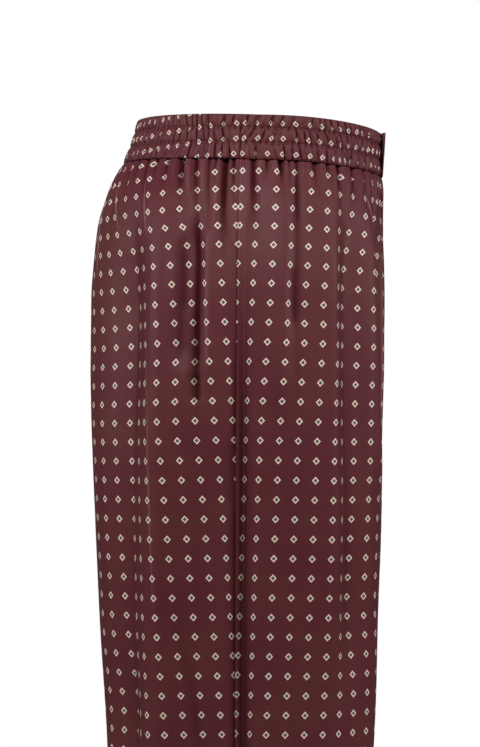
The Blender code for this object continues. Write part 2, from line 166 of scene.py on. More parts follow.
@dataclass(frozen=True)
class PantsForm:
    """The rounded form that the cloth is filled out to."""

    band_top: float = 0.0206
    band_bottom: float = -0.0204
    back_tilt: float = 0.036
    front_drop: float = 0.62
    tilt_ends: float = -0.20
    crotch: float = -0.285
    hem: float = -1.029
    steps: int = 720

    def outline(self, panel: Panel, z: float) -> Outline:
        """Trace a right-hand panel at one height.

        Args:
            panel: Front or back.
            z: Height before the waist's tilt.

        Returns:
            The outline, its outward direction and the distance from the side seam.
        """
        columns = np.array(SECTIONS[::-1]).T
        back, front, outer, middle, split, squareness = (
            curve_through(columns[0], column, z) for column in columns[1:]
        )
        seam = np.array(SIDE_SEAM[::-1]).T
        seam_y = curve_through(seam[0], seam[1], z)
        middle_y, depth = (back + front) / 2, (back - front) / 2
        bend = 2 / squareness
        offset = (middle_y - seam_y) / depth
        start = math.copysign(math.asin(abs(offset) ** (1 / bend)), offset)
        end = math.pi - math.acos(min(split, 1.0) ** (1 / bend))
        turn = 1 if panel is Panel.FRONT else -1
        angle = np.linspace(start, turn * end, self.steps)
        outwards, forwards = np.cos(angle), np.sin(angle)
        reach = np.where(outwards > 0, outer - middle, middle / split)
        x = -middle - reach * np.sign(outwards) * np.abs(outwards) ** bend
        y = middle_y - depth * np.sign(forwards) * np.abs(forwards) ** bend
        along_x, along_y = np.gradient(x), np.gradient(y)
        length = np.hypot(along_x, along_y)
        distance = np.concatenate(([0.0], np.cumsum(np.hypot(np.diff(x), np.diff(y)))))
        crown = float(np.interp(math.pi / 2, np.abs(angle), distance))
        crown = min(crown, distance[-1] - 0.008)
        out_x, out_y = turn * along_y / length, -turn * along_x / length
        return Outline(x, y, out_x, out_y, distance, crown)

    def tilt(self, y: Array, z: float) -> Array:
        """Heights of points after the waist's slope from front to back.

        Args:
            y: Places from front to back.
            z: Height before the slope.

        Returns:
            Their heights.
        """
        share = ease((z - self.tilt_ends) / (self.band_bottom - self.tilt_ends))
        slope = np.where(y > 0, self.back_tilt * y, -self.front_drop * y * y)
        return z + slope * share

    def points(self, spots: Array, lift: Array, z: float) -> Array:
        """Place a row of cloth off the form, on its own side of the middle plane.

        Args:
            spots: The outline's values along the row.
            lift: How far the cloth stands off at each place.
            z: Height before the waist's tilt.

        Returns:
            The points, one a line.
        """
        x, y, out_x, out_y = spots
        px, py = np.minimum(x + lift * out_x, -CENTRE), y + lift * out_y
        return np.stack((px, py, self.tilt(py, z)), axis=1)


def level(spots: Array) -> Array:
    """Level outward directions along a row, one a line."""
    return np.stack((spots[2], spots[3], 0 * spots[2]), axis=1)


@dataclass(frozen=True)
class Fold:
    """A long fold down a panel; distances are from the side seam."""

    panel: Panel
    at_top: float
    at_bottom: float
    top: float
    bottom: float
    near: float
    far: float
    rise: float


@dataclass(frozen=True)
class Furrow:
    """A gather's sharp furrow under the waistband, drawn in from its lobes."""

    panel: Panel
    at_top: float
    at_bottom: float
    bottom: float
    depth: float
    half_width: float


F, B = Panel.FRONT, Panel.BACK

FOLDS = (
    # panel, at top, at bottom, top, bottom, near, far, rise
    Fold(F, 0.000, 0.000, -0.045, -1.000, 0.022, 0.024, -0.0062),
    Fold(B, 0.000, 0.000, -0.045, -1.000, 0.015, 0.016, -0.0056),
    Fold(F, 0.044, 0.042, -0.022, -0.260, 0.020, 0.012, 0.0025),
    Fold(F, 0.056, 0.053, -0.022, -0.190, 0.012, 0.022, -0.0028),
    Fold(F, 0.090, 0.088, -0.022, -0.520, 0.034, 0.014, 0.0050),
    Fold(F, 0.111, 0.109, -0.026, -0.520, 0.016, 0.026, -0.0085),
    Fold(F, 0.090, 0.074, -0.260, -1.020, 0.036, 0.020, 0.0030),
    Fold(F, 0.140, 0.152, -0.026, -0.345, 0.022, 0.013, 0.0060),
    Fold(F, 0.164, 0.172, -0.040, -0.300, 0.014, 0.016, -0.0065),
    Fold(F, 0.150, 0.118, -0.380, -1.020, 0.030, 0.030, 0.0040),
    Fold(F, 0.220, 0.160, -0.300, -0.950, 0.034, 0.034, -0.0040),
    Fold(F, 0.268, 0.194, -0.305, -1.020, 0.038, 0.036, 0.0050),
    Fold(B, 0.027, 0.026, -0.060, -0.235, 0.014, 0.010, 0.0035),
    Fold(B, 0.036, 0.037, -0.060, -0.225, 0.010, 0.018, -0.0055),
    Fold(B, 0.051, 0.050, -0.085, -0.215, 0.011, 0.013, -0.0040),
    Fold(B, 0.070, 0.068, -0.022, -1.020, 0.032, 0.026, 0.0066),
    Fold(B, 0.108, 0.110, -0.030, -0.620, 0.028, 0.064, -0.0165),
    Fold(B, 0.112, 0.096, -0.440, -1.000, 0.028, 0.050, -0.0090),
    Fold(B, 0.228, 0.205, -0.045, -0.300, 0.022, 0.020, -0.0040),
    Fold(B, 0.222, 0.168, -0.320, -0.980, 0.034, 0.034, -0.0045),
    Fold(B, 0.272, 0.204, -0.305, -1.020, 0.040, 0.036, 0.0050),
    Fold(B, 0.060, 0.014, -0.400, -0.620, 0.024, 0.020, -0.0030),
    # smaller folds, in this fine cloth alone
    Fold(F, 0.005, 0.006, -0.090, -1.010, 0.012, 0.014, -0.0068),
    Fold(B, 0.000, 0.000, -0.200, -1.010, 0.010, 0.010, -0.0034),
    Fold(B, 0.048, 0.047, -0.085, -0.165, 0.008, 0.009, -0.0016),
    Fold(B, 0.033, 0.034, -0.070, -0.270, 0.009, 0.011, -0.0022),
    Fold(B, 0.036, 0.036, -0.210, -0.240, 0.008, 0.010, -0.0022),
    Fold(B, 0.004, 0.006, -0.270, -0.340, 0.012, 0.016, -0.0020),
    Fold(F, 0.050, 0.053, -0.115, -0.175, 0.006, 0.010, -0.0012),
)

FURROWS = (
    # panel, at top, at bottom, bottom, depth, half width
    Furrow(F, 0.013, 0.016, -0.120, 0.0030, 0.0075),
    Furrow(F, 0.026, 0.024, -0.045, 0.0024, 0.0060),
    Furrow(F, 0.039, 0.041, -0.054, 0.0044, 0.0060),
    Furrow(F, 0.047, 0.047, -0.072, 0.0024, 0.0050),
    Furrow(F, 0.054, 0.056, -0.096, 0.0028, 0.0065),
    Furrow(F, 0.074, 0.073, -0.056, 0.0040, 0.0080),
    Furrow(F, 0.088, 0.088, -0.044, 0.0026, 0.0055),
    Furrow(F, 0.101, 0.106, -0.085, 0.0038, 0.0075),
    Furrow(F, 0.121, 0.123, -0.066, 0.0044, 0.0070),
    Furrow(F, 0.141, 0.143, -0.075, 0.0030, 0.0070),
    Furrow(F, 0.163, 0.164, -0.115, 0.0034, 0.0070),
    Furrow(F, 0.182, 0.184, -0.070, 0.0030, 0.0075),
    Furrow(F, 0.197, 0.198, -0.085, 0.0036, 0.0075),
    Furrow(B, 0.005, 0.002, -0.105, 0.0034, 0.0060),
    Furrow(B, 0.013, 0.013, -0.125, 0.0054, 0.0085),
    Furrow(B, 0.022, 0.022, -0.058, 0.0028, 0.0050),
    Furrow(B, 0.028, 0.026, -0.112, 0.0026, 0.0060),
    Furrow(B, 0.042, 0.034, -0.100, 0.0036, 0.0070),
    Furrow(B, 0.058, 0.052, -0.072, 0.0050, 0.0075),
    Furrow(B, 0.074, 0.073, -0.066, 0.0030, 0.0065),
    Furrow(B, 0.088, 0.086, -0.048, 0.0026, 0.0060),
    Furrow(B, 0.103, 0.093, -0.080, 0.0036, 0.0070),
    Furrow(B, 0.119, 0.112, -0.055, 0.0028, 0.0065),
    Furrow(B, 0.134, 0.124, -0.070, 0.0036, 0.0075),
    Furrow(B, 0.151, 0.150, -0.100, 0.0038, 0.0080),
    Furrow(B, 0.168, 0.168, -0.062, 0.0030, 0.0070),
    Furrow(B, 0.184, 0.188, -0.095, 0.0040, 0.0080),
)


@dataclass(frozen=True)
class Rim:
    """A thin crest, raised a little and given a painted highlight; distances are from the side
    seam.
    """

    panel: Panel
    at_top: float
    at_bottom: float
    top: float
    bottom: float
    strength: float
    half: float


RIMS = (
    # panel, at top, at bottom, top, bottom, strength, half width
    Rim(F, 0.135, 0.158, -0.026, -0.095, 0.9, 0.0034),
    Rim(F, 0.158, 0.160, -0.085, -0.300, 0.9, 0.0034),
    Rim(F, 0.182, 0.182, -0.060, -0.420, 0.7, 0.0034),
    Rim(F, 0.150, 0.166, -0.024, -0.070, 0.6, 0.0034),
    Rim(B, 0.178, 0.170, -0.040, -0.130, 1.0, 0.0030),
    Rim(B, 0.150, 0.130, -0.026, -0.092, 0.8, 0.0028),
    Rim(B, 0.101, 0.087, -0.022, -0.096, 0.8, 0.0028),
    Rim(B, 0.088, 0.071, -0.085, -0.450, 0.5, 0.0028),
)


@dataclass(frozen=True)
class Drape:
    """How the cloth lies off the form: long folds, gathers, seams and hem."""

    form: PantsForm
    fold_end: float = 0.22
    crest_rounding: float = 0.10
    crest_hollow: float = 1.25
    left_shift: float = 0.006
    left_rise: float = 0.88
    pucker_depth: float = 0.0014
    pucker_reach: float = 0.016
    pucker_step: float = 0.0098
    drawn_in: float = 0.0014
    rim_rise: float = 0.0008
    lip_rise: float = 0.0006
    seam_dip: float = 0.0007
    seam_width: float = 0.0030
    seam_blend: float = 0.010
    fell_width: float = 0.0075
    fell_edge: float = 0.0012
    ditch: float = 0.0006
    ditch_width: float = 0.0011
    inner_dip: float = 0.0013
    inner_width: float = 0.0035
    hem_height: float = 0.025
    hem_rise: float = 0.0004
    hem_blend: float = 0.002
    hem_groove: float = 0.0005
    hem_roll: float = 0.0006
    hem_roll_height: float = 0.0012

    def lift(
        self, panel: Panel, side: Side, distance: Array, z: float, width: float
    ) -> Array:
        """Find how far the cloth stands off the form along one row.

        Args:
            panel: Front or back.
            side: Side of the wearer.
            distance: Distances from the side seam.
            z: Height of the row.
            width: Distance of the panel's other edge.

        Returns:
            Distances outwards, at each place.
        """
        total = self.relief(panel, side, distance, z, width)
        if panel is Panel.BACK:
            seam = np.zeros(1)
            step = self.relief(Panel.FRONT, side, seam, z, width)
            step -= self.relief(Panel.BACK, side, seam, z, width)
            total += step[0] * (1 - ease(distance / self.seam_blend))
        return total

    def relief(
        self, panel: Panel, side: Side, distance: Array, z: float, width: float
    ) -> Array:
        """Lift of a panel along one row, before its edge is joined to the next panel.

        Args:
            panel: Front or back.
            side: Side of the wearer.
            distance: Distances from the side seam.
            z: Height of the row.
            width: Distance of the panel's other edge.

        Returns:
            Distances outwards, at each place.
        """
        total = self.folds(panel, side, distance, z)
        total -= self.furrows(panel, side, distance, z)
        total -= self.puckers(panel, side, distance, z)
        total += self.seams(panel, distance, z, width)
        total += self.rim_rise * self.rims(panel, distance, z)
        return total

    def folds(self, panel: Panel, side: Side, distance: Array, z: float) -> Array:
        """Height of the long folds, at distances from the side seam.

        Args:
            panel: Front or back.
            side: Side of the wearer.
            distance: Distances from the side seam.
            z: Height of the row.

        Returns:
            Distances outwards, at each place.
        """
        left = side is Side.LEFT
        shift, scale = (self.left_shift, self.left_rise) if left else (0.0, 1.0)
        total = np.zeros_like(distance)
        for fold in FOLDS:
            share = (z - fold.top) / (fold.bottom - fold.top)
            if fold.panel is not panel or not 0 < share < 1:
                continue
            middle = fold.at_top + (fold.at_bottom - fold.at_top) * share
            middle += shift if middle > 0 else 0.0
            away = distance - middle
            u = np.abs(away) / np.where(away < 0, fold.near, fold.far)
            crest = np.clip(1 + self.crest_rounding - np.hypot(u, self.crest_rounding), 0, 1)
            ends = ease(share / self.fold_end) * ease((1 - share) / self.fold_end)
            total += fold.rise * scale * ends * crest**self.crest_hollow
        return total

    def rims(self, panel: Panel, distance: Array, z: float) -> Array:
        """Share of a thin crest, 0 to 1, at distances from the side seam.

        Args:
            panel: Front or back.
            distance: Distances from the side seam.
            z: Height of the row.

        Returns:
            The share at each place.
        """
        total = np.zeros_like(distance)
        for rim in RIMS:
            share = (z - rim.top) / (rim.bottom - rim.top)
            if rim.panel is panel and 0 < share < 1:
                middle = rim.at_top + (rim.at_bottom - rim.at_top) * share
                t = np.clip(np.abs(distance - middle) / rim.half, 0, 1)
                height = rim.strength * math.sin(math.pi * share) ** 0.4
                total = np.maximum(total, height * (1 - t))
        return total

    def furrows(self, panel: Panel, side: Side, distance: Array, z: float) -> Array:
        """Depth of the gathers' furrows, at distances from the side seam.

        Args:
            panel: Front or back.
            side: Side of the wearer.
            distance: Distances from the side seam.
            z: Height of the row.

        Returns:
            Distances inwards, at each place.
        """
        total = np.zeros_like(distance)
        top = self.form.band_bottom
        for number, furrow in enumerate(FURROWS):
            share = (top - z) / (top - furrow.bottom)
            if furrow.panel is not panel or share > 1:
                continue
            middle = furrow.at_top + (furrow.at_bottom - furrow.at_top) * max(share, 0)
            if side is Side.LEFT:
                middle += 0.004 * math.sin(2.3 * number)
            widening = furrow.half_width * (0.8 + 0.6 * max(share, 0))
            t = np.clip(np.abs(distance - middle) / widening, 0, 1)
            fade = 1 - ease(share)
            total = np.maximum(total, 1.4 * furrow.depth * fade * (1 - t**1.6) ** 1.8)
        return total

    def puckers(self, panel: Panel, side: Side, distance: Array, z: float) -> Array:
        """Depth of the small puckers right under the waistband's seam.

        Args:
            panel: Front or back.
            side: Side of the wearer.
            distance: Distances from the side seam.
            z: Height of the row.

        Returns:
            Distances inwards, at each place.
        """
        below = (self.form.band_bottom - z) / self.pucker_reach
        if below > 1:
            return np.zeros_like(distance)
        seed = {"front": 0.4, "back": 1.9}[panel.value] + (0.7 if side is Side.LEFT else 0)
        phase = distance / self.pucker_step + 0.35 * np.sin(distance * 71 + seed)
        size = 0.55 + 0.45 * np.sin(distance * 163 + 3 * seed)
        furrow = 1 - np.abs(np.sin(math.pi * phase + seed)) ** 0.7
        draw = self.drawn_in * (1 - ease(below * 2.2))
        return self.pucker_depth * size * furrow * (1 - ease(below)) + draw

    def seams(self, panel: Panel, distance: Array, z: float, width: float) -> Array:
        """Relief of the felled side seam, the plain inner seams and the hem.

        Args:
            panel: Front or back.
            distance: Distances from the side seam.
            z: Height of the row.
            width: Distance of the panel's other edge.

        Returns:
            Distances outwards, at each place.
        """
        total = np.zeros_like(distance)
        if panel is Panel.FRONT:
            lip = ease(np.clip(1 - (distance - self.fell_width) / self.fell_edge, 0, 1))
            total += self.lip_rise * lip
            total -= self.ditch * np.clip(1 - distance / self.ditch_width, 0, 1) ** 2
        else:
            total -= self.seam_dip * np.clip(1 - distance / self.seam_width, 0, 1) ** 1.5
        far = (width - distance) / self.inner_width
        total -= self.inner_dip * np.clip(1 - far, 0, 1) ** 2
        up = z - self.form.hem
        if up < self.hem_height + 2 * self.hem_blend:
            groove = 1 - abs(up - self.hem_height + 0.0015) / self.hem_blend
            total += self.hem_rise * ease((self.hem_height - up) / self.hem_blend)
            total -= self.hem_groove * max(0.0, groove)
            total -= self.hem_roll * max(0.0, 1 - up / self.hem_roll_height) ** 2
        return total


def read_line(place: float, known: Array, values: Array) -> Array:
    """Vector read between known places along a line."""
    return np.array([np.interp(place, known, column) for column in values.T])


@dataclass
class ClothGrid:
    """Rows and columns of points of one cloth piece, with its flat cut.

    Attributes:
        points: Places, as rows x columns x 3.
        cut: Flat places in metres, as rows x columns x 2.
        distance: Distance of each point from the side seam.
        heights: Height of each row before the waist's tilt.
        outwards: Outward directions of the points.
        painted_shading: How deep each point lies in a crease, for painted shade there and a
            painted highlight on crests.
    """

    points: Array
    cut: Array
    distance: Array
    heights: Array
    outwards: Array
    painted_shading: Array

    @classmethod
    def from_rows(
        cls,
        points: Sequence[Array],
        cut: Sequence[Array],
        distance: Sequence[Array],
        heights: Sequence[float],
        rough: Sequence[Array],
        painted_shading: Sequence[Array] | None = None,
    ) -> "ClothGrid":
        """Make a grid from its rows.

        Args:
            points: Places of each row.
            cut: Flat places of each row.
            distance: Distances from the side seam.
            heights: Heights of the rows.
            rough: Outward directions, roughly.
            painted_shading: Crease depths of each row, for painted shade and highlight, or none.

        Returns:
            The grid, with outward directions square to the cloth.
        """
        places = np.array(points)
        painted_crease_shade = np.zeros(places.shape[:2]) if painted_shading is None else np.array(painted_shading)
        outwards = outward_directions(places, np.array(rough))
        rows = (np.array(values) for values in (cut, distance, heights))
        return cls(places, *rows, outwards, painted_crease_shade)

    def mirrored(self) -> "ClothGrid":
        """The same piece on the other side of the body."""
        return replace(self, points=self.points * MIRROR, outwards=self.outwards * MIRROR)

    def place(self, distance: float, z: float) -> tuple[Array, Array]:
        """Find a place on the cloth.

        Args:
            distance: Distance from the side seam.
            z: Height before the waist's tilt.

        Returns:
            The point and the outward direction there.
        """
        row = float(np.interp(-z, -self.heights, np.arange(len(self.heights))))
        upper = min(int(row), len(self.heights) - 2)
        t = row - upper
        found = []
        for values in (self.points, self.outwards):
            one, two = (
                read_line(distance, self.distance[k], values[k]) for k in (upper, upper + 1)
            )
            found.append(one + (two - one) * t)
        return found[0], found[1] / np.linalg.norm(found[1])

    def line(self, distances: Array, heights: Array) -> Line:
        """Follow a line on the cloth.

        Args:
            distances: Distances of its places from the side seam.
            heights: Their heights before the waist's tilt.

        Returns:
            The line.
        """
        found = [self.place(distance, z) for distance, z in zip(distances, heights)]
        points, outwards = zip(*found)
        return np.array(points), np.array(outwards)

    def down(self, distance: float, top: float, bottom: float, step: float) -> Line:
        """A line down the cloth at one distance from the side seam.

        Args:
            distance: Distance from the side seam.
            top: Height where it starts.
            bottom: Height where it ends.
            step: Space between its places.

        Returns:
            The line.
        """
        heights = np.arange(top, bottom, -step)
        return self.line(np.full_like(heights, distance), heights)

    def across(self, z: float, start: float, end: float, step: float) -> Line:
        """A line along the cloth at one height, up to its edge at most.

        Args:
            z: Height of the line.
            start: Distance where it starts.
            end: Distance where it ends.
            step: Space between its places.

        Returns:
            The line.
        """
        row = float(np.interp(-z, -self.heights, np.arange(len(self.heights))))
        end = min(end, float(self.distance[int(row), -1]))
        distances = np.arange(start, end, step)
        return self.line(distances, np.full_like(distances, z))


def outward_directions(points: Array, rough: Array) -> Array:
    """Directions square to a grid of points, on the side of some rough directions.

    Args:
        points: The points, by row and column.
        rough: Directions roughly outwards.

    Returns:
        The directions, of unit length.
    """
    down, across = np.gradient(points, axis=0), np.gradient(points, axis=1)
    square = np.cross(down, across)
    square /= np.maximum(np.linalg.norm(square, axis=2, keepdims=True), 1e-12)
    sign = np.sign((square * rough).sum(axis=2, keepdims=True))
    return square * np.where(sign == 0, 1, sign)


def crease_shade_depths(distance: Array, lift: Array, reach: float, depth: float) -> Array:
    """Find how deep the places along one row lie in creases, for the painted shade in them.

    Args:
        distance: Distances from the side seam.
        lift: How far the cloth stands off its form there.
        reach: Half the width over which the cloth's mean height is taken.
        depth: Depth below that mean that counts as 1.

    Returns:
        Depths, from -0.4 on crests to 1 in the deepest creases.
    """
    step = reach / 8
    even = np.arange(distance[0] - reach, distance[-1] + reach, step)
    heights = np.interp(even, distance, lift)
    window = np.hanning(19)[1:-1]
    smooth = np.convolve(heights, window / window.sum(), mode="same")
    below = (np.interp(distance, even, smooth) - lift) / depth
    return np.clip(below, -0.4, 1.0)


@dataclass(frozen=True)
class PrintGrid:
    """Where the print lies on the cut cloth."""

    column_pitch: float = 0.0172
    row_pitch: float = 0.0175
    reference: float = -0.160
    front_lean: float = 0.042
    back_lean: float = 0.085
    front_arch: float = 0.0055
    back_arch: float = 0.008
    front_offset: float = -0.0040
    seam_offset: float = -0.0034
    back_offset: float = -0.0024
    row_offset: float = -0.0021
    seam_reach: float = 0.022
    arch_reach: float = 0.200

    def lay(
        self, panel: Panel, folded: Array, base: Array, distance: Array, heights: Array
    ) -> Array:
        """Lay a panel flat.

        Args:
            panel: Front or back.
            folded: The cloth's points, with its long folds but no gathers.
            base: The form's points under them, without folds.
            distance: Distances from the side seam.
            heights: Heights of the rows.

        Returns:
            Flat places in metres.
        """
        steps = np.linalg.norm(np.diff(folded, axis=1), axis=2)
        across = np.concatenate((np.zeros((len(folded), 1)), np.cumsum(steps, axis=1)), axis=1)
        front = panel is Panel.FRONT
        lean = self.front_lean if front else self.back_lean
        offset = self.front_offset if front else self.back_offset
        across = across + lean * (self.reference - heights)[:, None] + offset
        if front:
            across = across + self.seam_offset * (1 - ease(distance / self.seam_reach))
        falls = np.linalg.norm(np.diff(base, axis=0), axis=2)
        down = np.concatenate((np.zeros((1, falls.shape[1])), np.cumsum(falls, axis=0)))
        at = float(np.interp(-self.reference, -heights, np.arange(len(heights))))
        upper, t = int(at), at - int(at)
        start = down[upper] + (down[upper + 1] - down[upper]) * t
        reach = np.clip(distance / self.arch_reach, 0, 1)
        arch = self.front_arch if front else self.back_arch
        up = start - down + arch * ease(reach) + self.row_offset
        turn = 1 if front else -1
        return np.stack((turn * across, up), axis=2)


def graded(stations: Sequence[tuple[float, float]], count: int) -> Array:
    """Values graded through stations.

    Args:
        stations: Pairs of share of the count and value.
        count: How many values.

    Returns:
        The values, in order.
    """
    shares, values = np.array(stations).T
    return np.interp(np.linspace(0, 1, count), shares, values)


@dataclass(frozen=True)
class LegPanel:
    """One leg panel, as a fine sheet of satin."""

    form: PantsForm
    drape: Drape
    print_grid: PrintGrid
    panel: Panel
    side: Side
    columns: int = 164
    rows: int = 232
    thickness: float = 0.0008
    allowance: float = 0.0042
    allowance_depth: float = 0.0036
    turn: float = 0.0001
    crotch_join: float = 0.0016
    join_reach: float = 0.020
    centre_reach: float = 0.006
    left_rim_highlight: float = 0.45

    def heights(self) -> Array:
        """Heights of the rows, closest together under the waistband."""
        top = self.form.band_bottom - 0.0003
        stations = (
            (0.00, top),
            (0.05, -0.0300),
            (0.24, -0.1000),
            (0.46, -0.2500),
            (0.56, -0.2885),
            (0.97, -0.9980),
            (1.00, self.form.hem),
        )
        return graded(stations, self.rows)

    def grid(self) -> ClothGrid:
        """Place the panel's points on the form.

        Returns:
            The grid, on the right-hand side of the body.
        """
        heights = self.heights()
        share = np.linspace(0, 1, self.columns)
        points, folded, base, distances, rough, painted_shading = [], [], [], [], [], []
        for z in heights:
            outline = self.form.outline(self.panel, z)
            width = outline.distance[-1]
            places = np.interp(
                share, (0.0, 0.055, 0.74, 1.0), (0.0, 0.009, outline.crown, width)
            )
            lift = self.drape.lift(self.panel, self.side, places, z, width)
            spots = outline.at(places)
            held = spots.copy()
            if z >= self.form.crotch:
                held[2] *= ease((width - places) / self.centre_reach)
            folds = self.drape.folds(self.panel, self.side, places, z)
            for rows, off in ((points, lift), (folded, folds), (base, 0 * lift)):
                row = self.form.points(held, off, z)
                if row[-1, 0] > -self.crotch_join:
                    closing = 1 - ease((width - places) / self.join_reach)
                    row[:, 0] -= (row[-1, 0] + CENTRE) * closing
                rows.append(row)
            distances.append(places)
            # painted shade: depth in the creases, broader near the side seam, darkens the colour;
            # the thin rims push it below 0 for a painted highlight, fainter on the left
            near_seam = 1 - 0.7 * ease((places - 0.055) / 0.030)
            painted_depth = crease_shade_depths(places, lift, 0.016, 0.0032) * near_seam
            painted_depth = np.maximum(painted_depth, crease_shade_depths(places, lift, 0.006, 0.0016))
            rims = self.drape.rims(self.panel, places, z)
            rims = rims * self.left_rim_highlight if self.side is Side.LEFT else rims
            painted_shading.append(painted_depth - rims * (1 + painted_depth))
            rough.append(level(spots))
        distances = np.array(distances)
        flat = self.print_grid.lay(
            self.panel, np.array(folded), np.array(base), distances, heights
        )
        return ClothGrid.from_rows(points, flat, distances, heights, rough, painted_shading)

    def with_allowance(self, grid: ClothGrid) -> ClothGrid:
        """Turn the seam allowance up behind the waistband's casing.

        Args:
            grid: The panel's grid, on the right-hand side.

        Returns:
            The grid with two more rows at its top.
        """
        top = grid.heights[0]
        rows = []
        for rise, pressed in ((self.allowance, True), (self.turn, False)):
            outline = self.form.outline(self.panel, top + rise)
            places = grid.distance[0] * outline.distance[-1] / grid.distance[0, -1]
            spots = outline.at(places)
            away = grid.points[0, :, :2].T - spots[:2]
            lift = away[0] * spots[2] + away[1] * spots[3]
            lift = np.minimum(lift, -self.allowance_depth)
            lift = np.full_like(lift, -self.allowance_depth) if pressed else lift
            rows.append(self.form.points(spots, lift, top + rise))
        raised = grid.cut[0] + np.array((0.0, self.allowance))
        distance, outwards, painted_shading = (
            np.concatenate((values[:1], values[:1], values))
            for values in (grid.distance, grid.outwards, grid.painted_shading)
        )
        return ClothGrid(
            np.concatenate((rows, grid.points)),
            np.concatenate(([raised, grid.cut[0]], grid.cut)),
            distance,
            np.concatenate(([top + self.allowance, top + self.turn], grid.heights)),
            outwards,
            painted_shading,
        )

    def flat_size(self, grid: ClothGrid) -> tuple[float, float, float]:
        """Width, length and area of the panel as it was cut.

        Args:
            grid: The panel's grid, without its seam allowance.

        Returns:
            The three, in metres and square metres.
        """
        steps = np.linalg.norm(np.diff(grid.points, axis=1), axis=2).sum(axis=1)
        length = float(grid.cut[:, :, 1].max() - grid.cut[:, :, 1].min())
        area = float(np.trapz(steps, grid.cut[:, 0, 1][::-1]))
        return float(steps.max()), length, abs(area)

    def build(self, satin: "Satin", reverse: "Satin") -> ClothGrid:
        """Make the panel.

        Args:
            satin: Finish of its face.
            reverse: Finish of its inner side.

        Returns:
            The panel's grid.
        """
        grid = self.grid()
        width, length, area = self.flat_size(grid)
        sewn = self.with_allowance(grid)
        if self.side is Side.LEFT:
            grid, sewn = grid.mirrored(), sewn.mirrored()
        where = f"{self.panel.value}_{self.side.value}"
        piece = sheet_from_grid(f"satin_leg_{where}", sewn, self.thickness, satin, reverse)
        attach(piece, "root")
        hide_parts(f"leg_{where}")
        report(piece, f"flat {width:.3f} x {length:.3f} m, cut {area:.3f} m2")
        return grid


def grid_faces(rows: int, columns: int, start: int = 0) -> Array:
    """Quads between the points of a grid, by vertex number.

    Args:
        rows: Number of rows.
        columns: Number of columns.
        start: Number of the first vertex.

    Returns:
        The quads, one a line.
    """
    numbers = np.arange(rows * columns).reshape(rows, columns) + start
    corners = (numbers[:-1, :-1], numbers[1:, :-1], numbers[1:, 1:], numbers[:-1, 1:])
    return np.stack([corner.ravel() for corner in corners], axis=1)


def faces_outwards(points: Array, faces: Array, outwards: Array) -> Array:
    """Turn a grid's quads to face out.

    Args:
        points: The points, one a line.
        faces: The quads.
        outwards: Outward direction at each point.

    Returns:
        The quads, turned if they faced in.
    """
    a, b, c = (points[faces[:, k]] for k in range(3))
    facing = (np.cross(b - a, c - b) * outwards[faces[:, 0]]).sum()
    return faces if facing > 0 else faces[:, ::-1]


def mesh_object(name: str, points: Array, faces: Sequence) -> Piece:
    """Link a new object with this mesh, at the origin.

    Args:
        name: Name of the piece.
        points: Its points, one a line.
        faces: Its faces, by vertex number.

    Returns:
        The piece.
    """
    mesh = bpy.data.meshes.new(name)
    mesh.from_pydata(points.tolist(), [], [tuple(map(int, face)) for face in faces])
    piece = bpy.data.objects.new(name, mesh)
    bpy.context.scene.collection.objects.link(piece)
    return piece


def lay_cut(piece: Piece, cut: Array) -> None:
    """Give a piece its flat places, from one for each vertex.

    Args:
        piece: The cloth piece.
        cut: A flat place for each vertex.
    """
    layer = piece.data.uv_layers.new(name=CUT)
    loops = np.empty(len(piece.data.loops), dtype=np.int32)
    piece.data.loops.foreach_get("vertex_index", loops)
    layer.data.foreach_set("uv", cut[loops].astype(np.float32).ravel())


def mark_painted_shading(piece: Piece, painted_shading: Array) -> None:
    """Give a piece its crease depths, one for each vertex, which set its painted shade and
    highlight.
    """
    layer = piece.data.attributes.new(name=PAINTED_SHADING, type="FLOAT", domain="POINT")
    layer.data.foreach_set("value", painted_shading.astype(np.float32).ravel())


def only(piece: Piece) -> None:
    """Select this object alone and make it active."""
    bpy.ops.object.select_all(action="DESELECT")
    piece.select_set(True)
    bpy.context.view_layer.objects.active = piece


def sheet_from_grid(
    name: str,
    grid: ClothGrid,
    thickness: float,
    face: "Satin",
    reverse: "Satin",
) -> Piece:
    """Make a cloth sheet with a face and a reverse from its grid.

    Args:
        name: Name of the piece.
        grid: Its points and flat cut.
        thickness: Thickness of the cloth, inwards.
        face: Finish of the face.
        reverse: Finish of the inner side.

    Returns:
        The closed piece.
    """
    rows, columns = grid.points.shape[:2]
    points = grid.points.reshape(-1, 3)
    faces = faces_outwards(points, grid_faces(rows, columns), grid.outwards.reshape(-1, 3))
    piece = mesh_object(name, points, faces)
    lay_cut(piece, grid.cut.reshape(-1, 2))
    mark_painted_shading(piece, grid.painted_shading)
    piece.data.materials.append(face.material())
    piece.data.materials.append(reverse.material())
    piece.data.shade_smooth()
    only(piece)
    wall = piece.modifiers.new("cloth", "SOLIDIFY")
    wall.thickness = thickness
    wall.offset = -1
    wall.material_offset = 1
    bpy.ops.object.modifier_apply(modifier=wall.name)
    return piece


def report(piece: Piece, note: str = "") -> None:
    """Log a finished piece."""
    piece.data.calc_loop_triangles()
    log.info("%s: %d triangles %s", piece.name, len(piece.data.loop_triangles), note)


CHANNELS = (
    # top and bottom as shares of the band's height, gathers in a quarter, seed
    (0.00, 0.30, 23, 0.2),
    (0.30, 0.63, 21, 1.5),
    (0.63, 1.00, 15, 2.7),
)
STITCHED_LINES = tuple(channel[0] for channel in CHANNELS[1:])


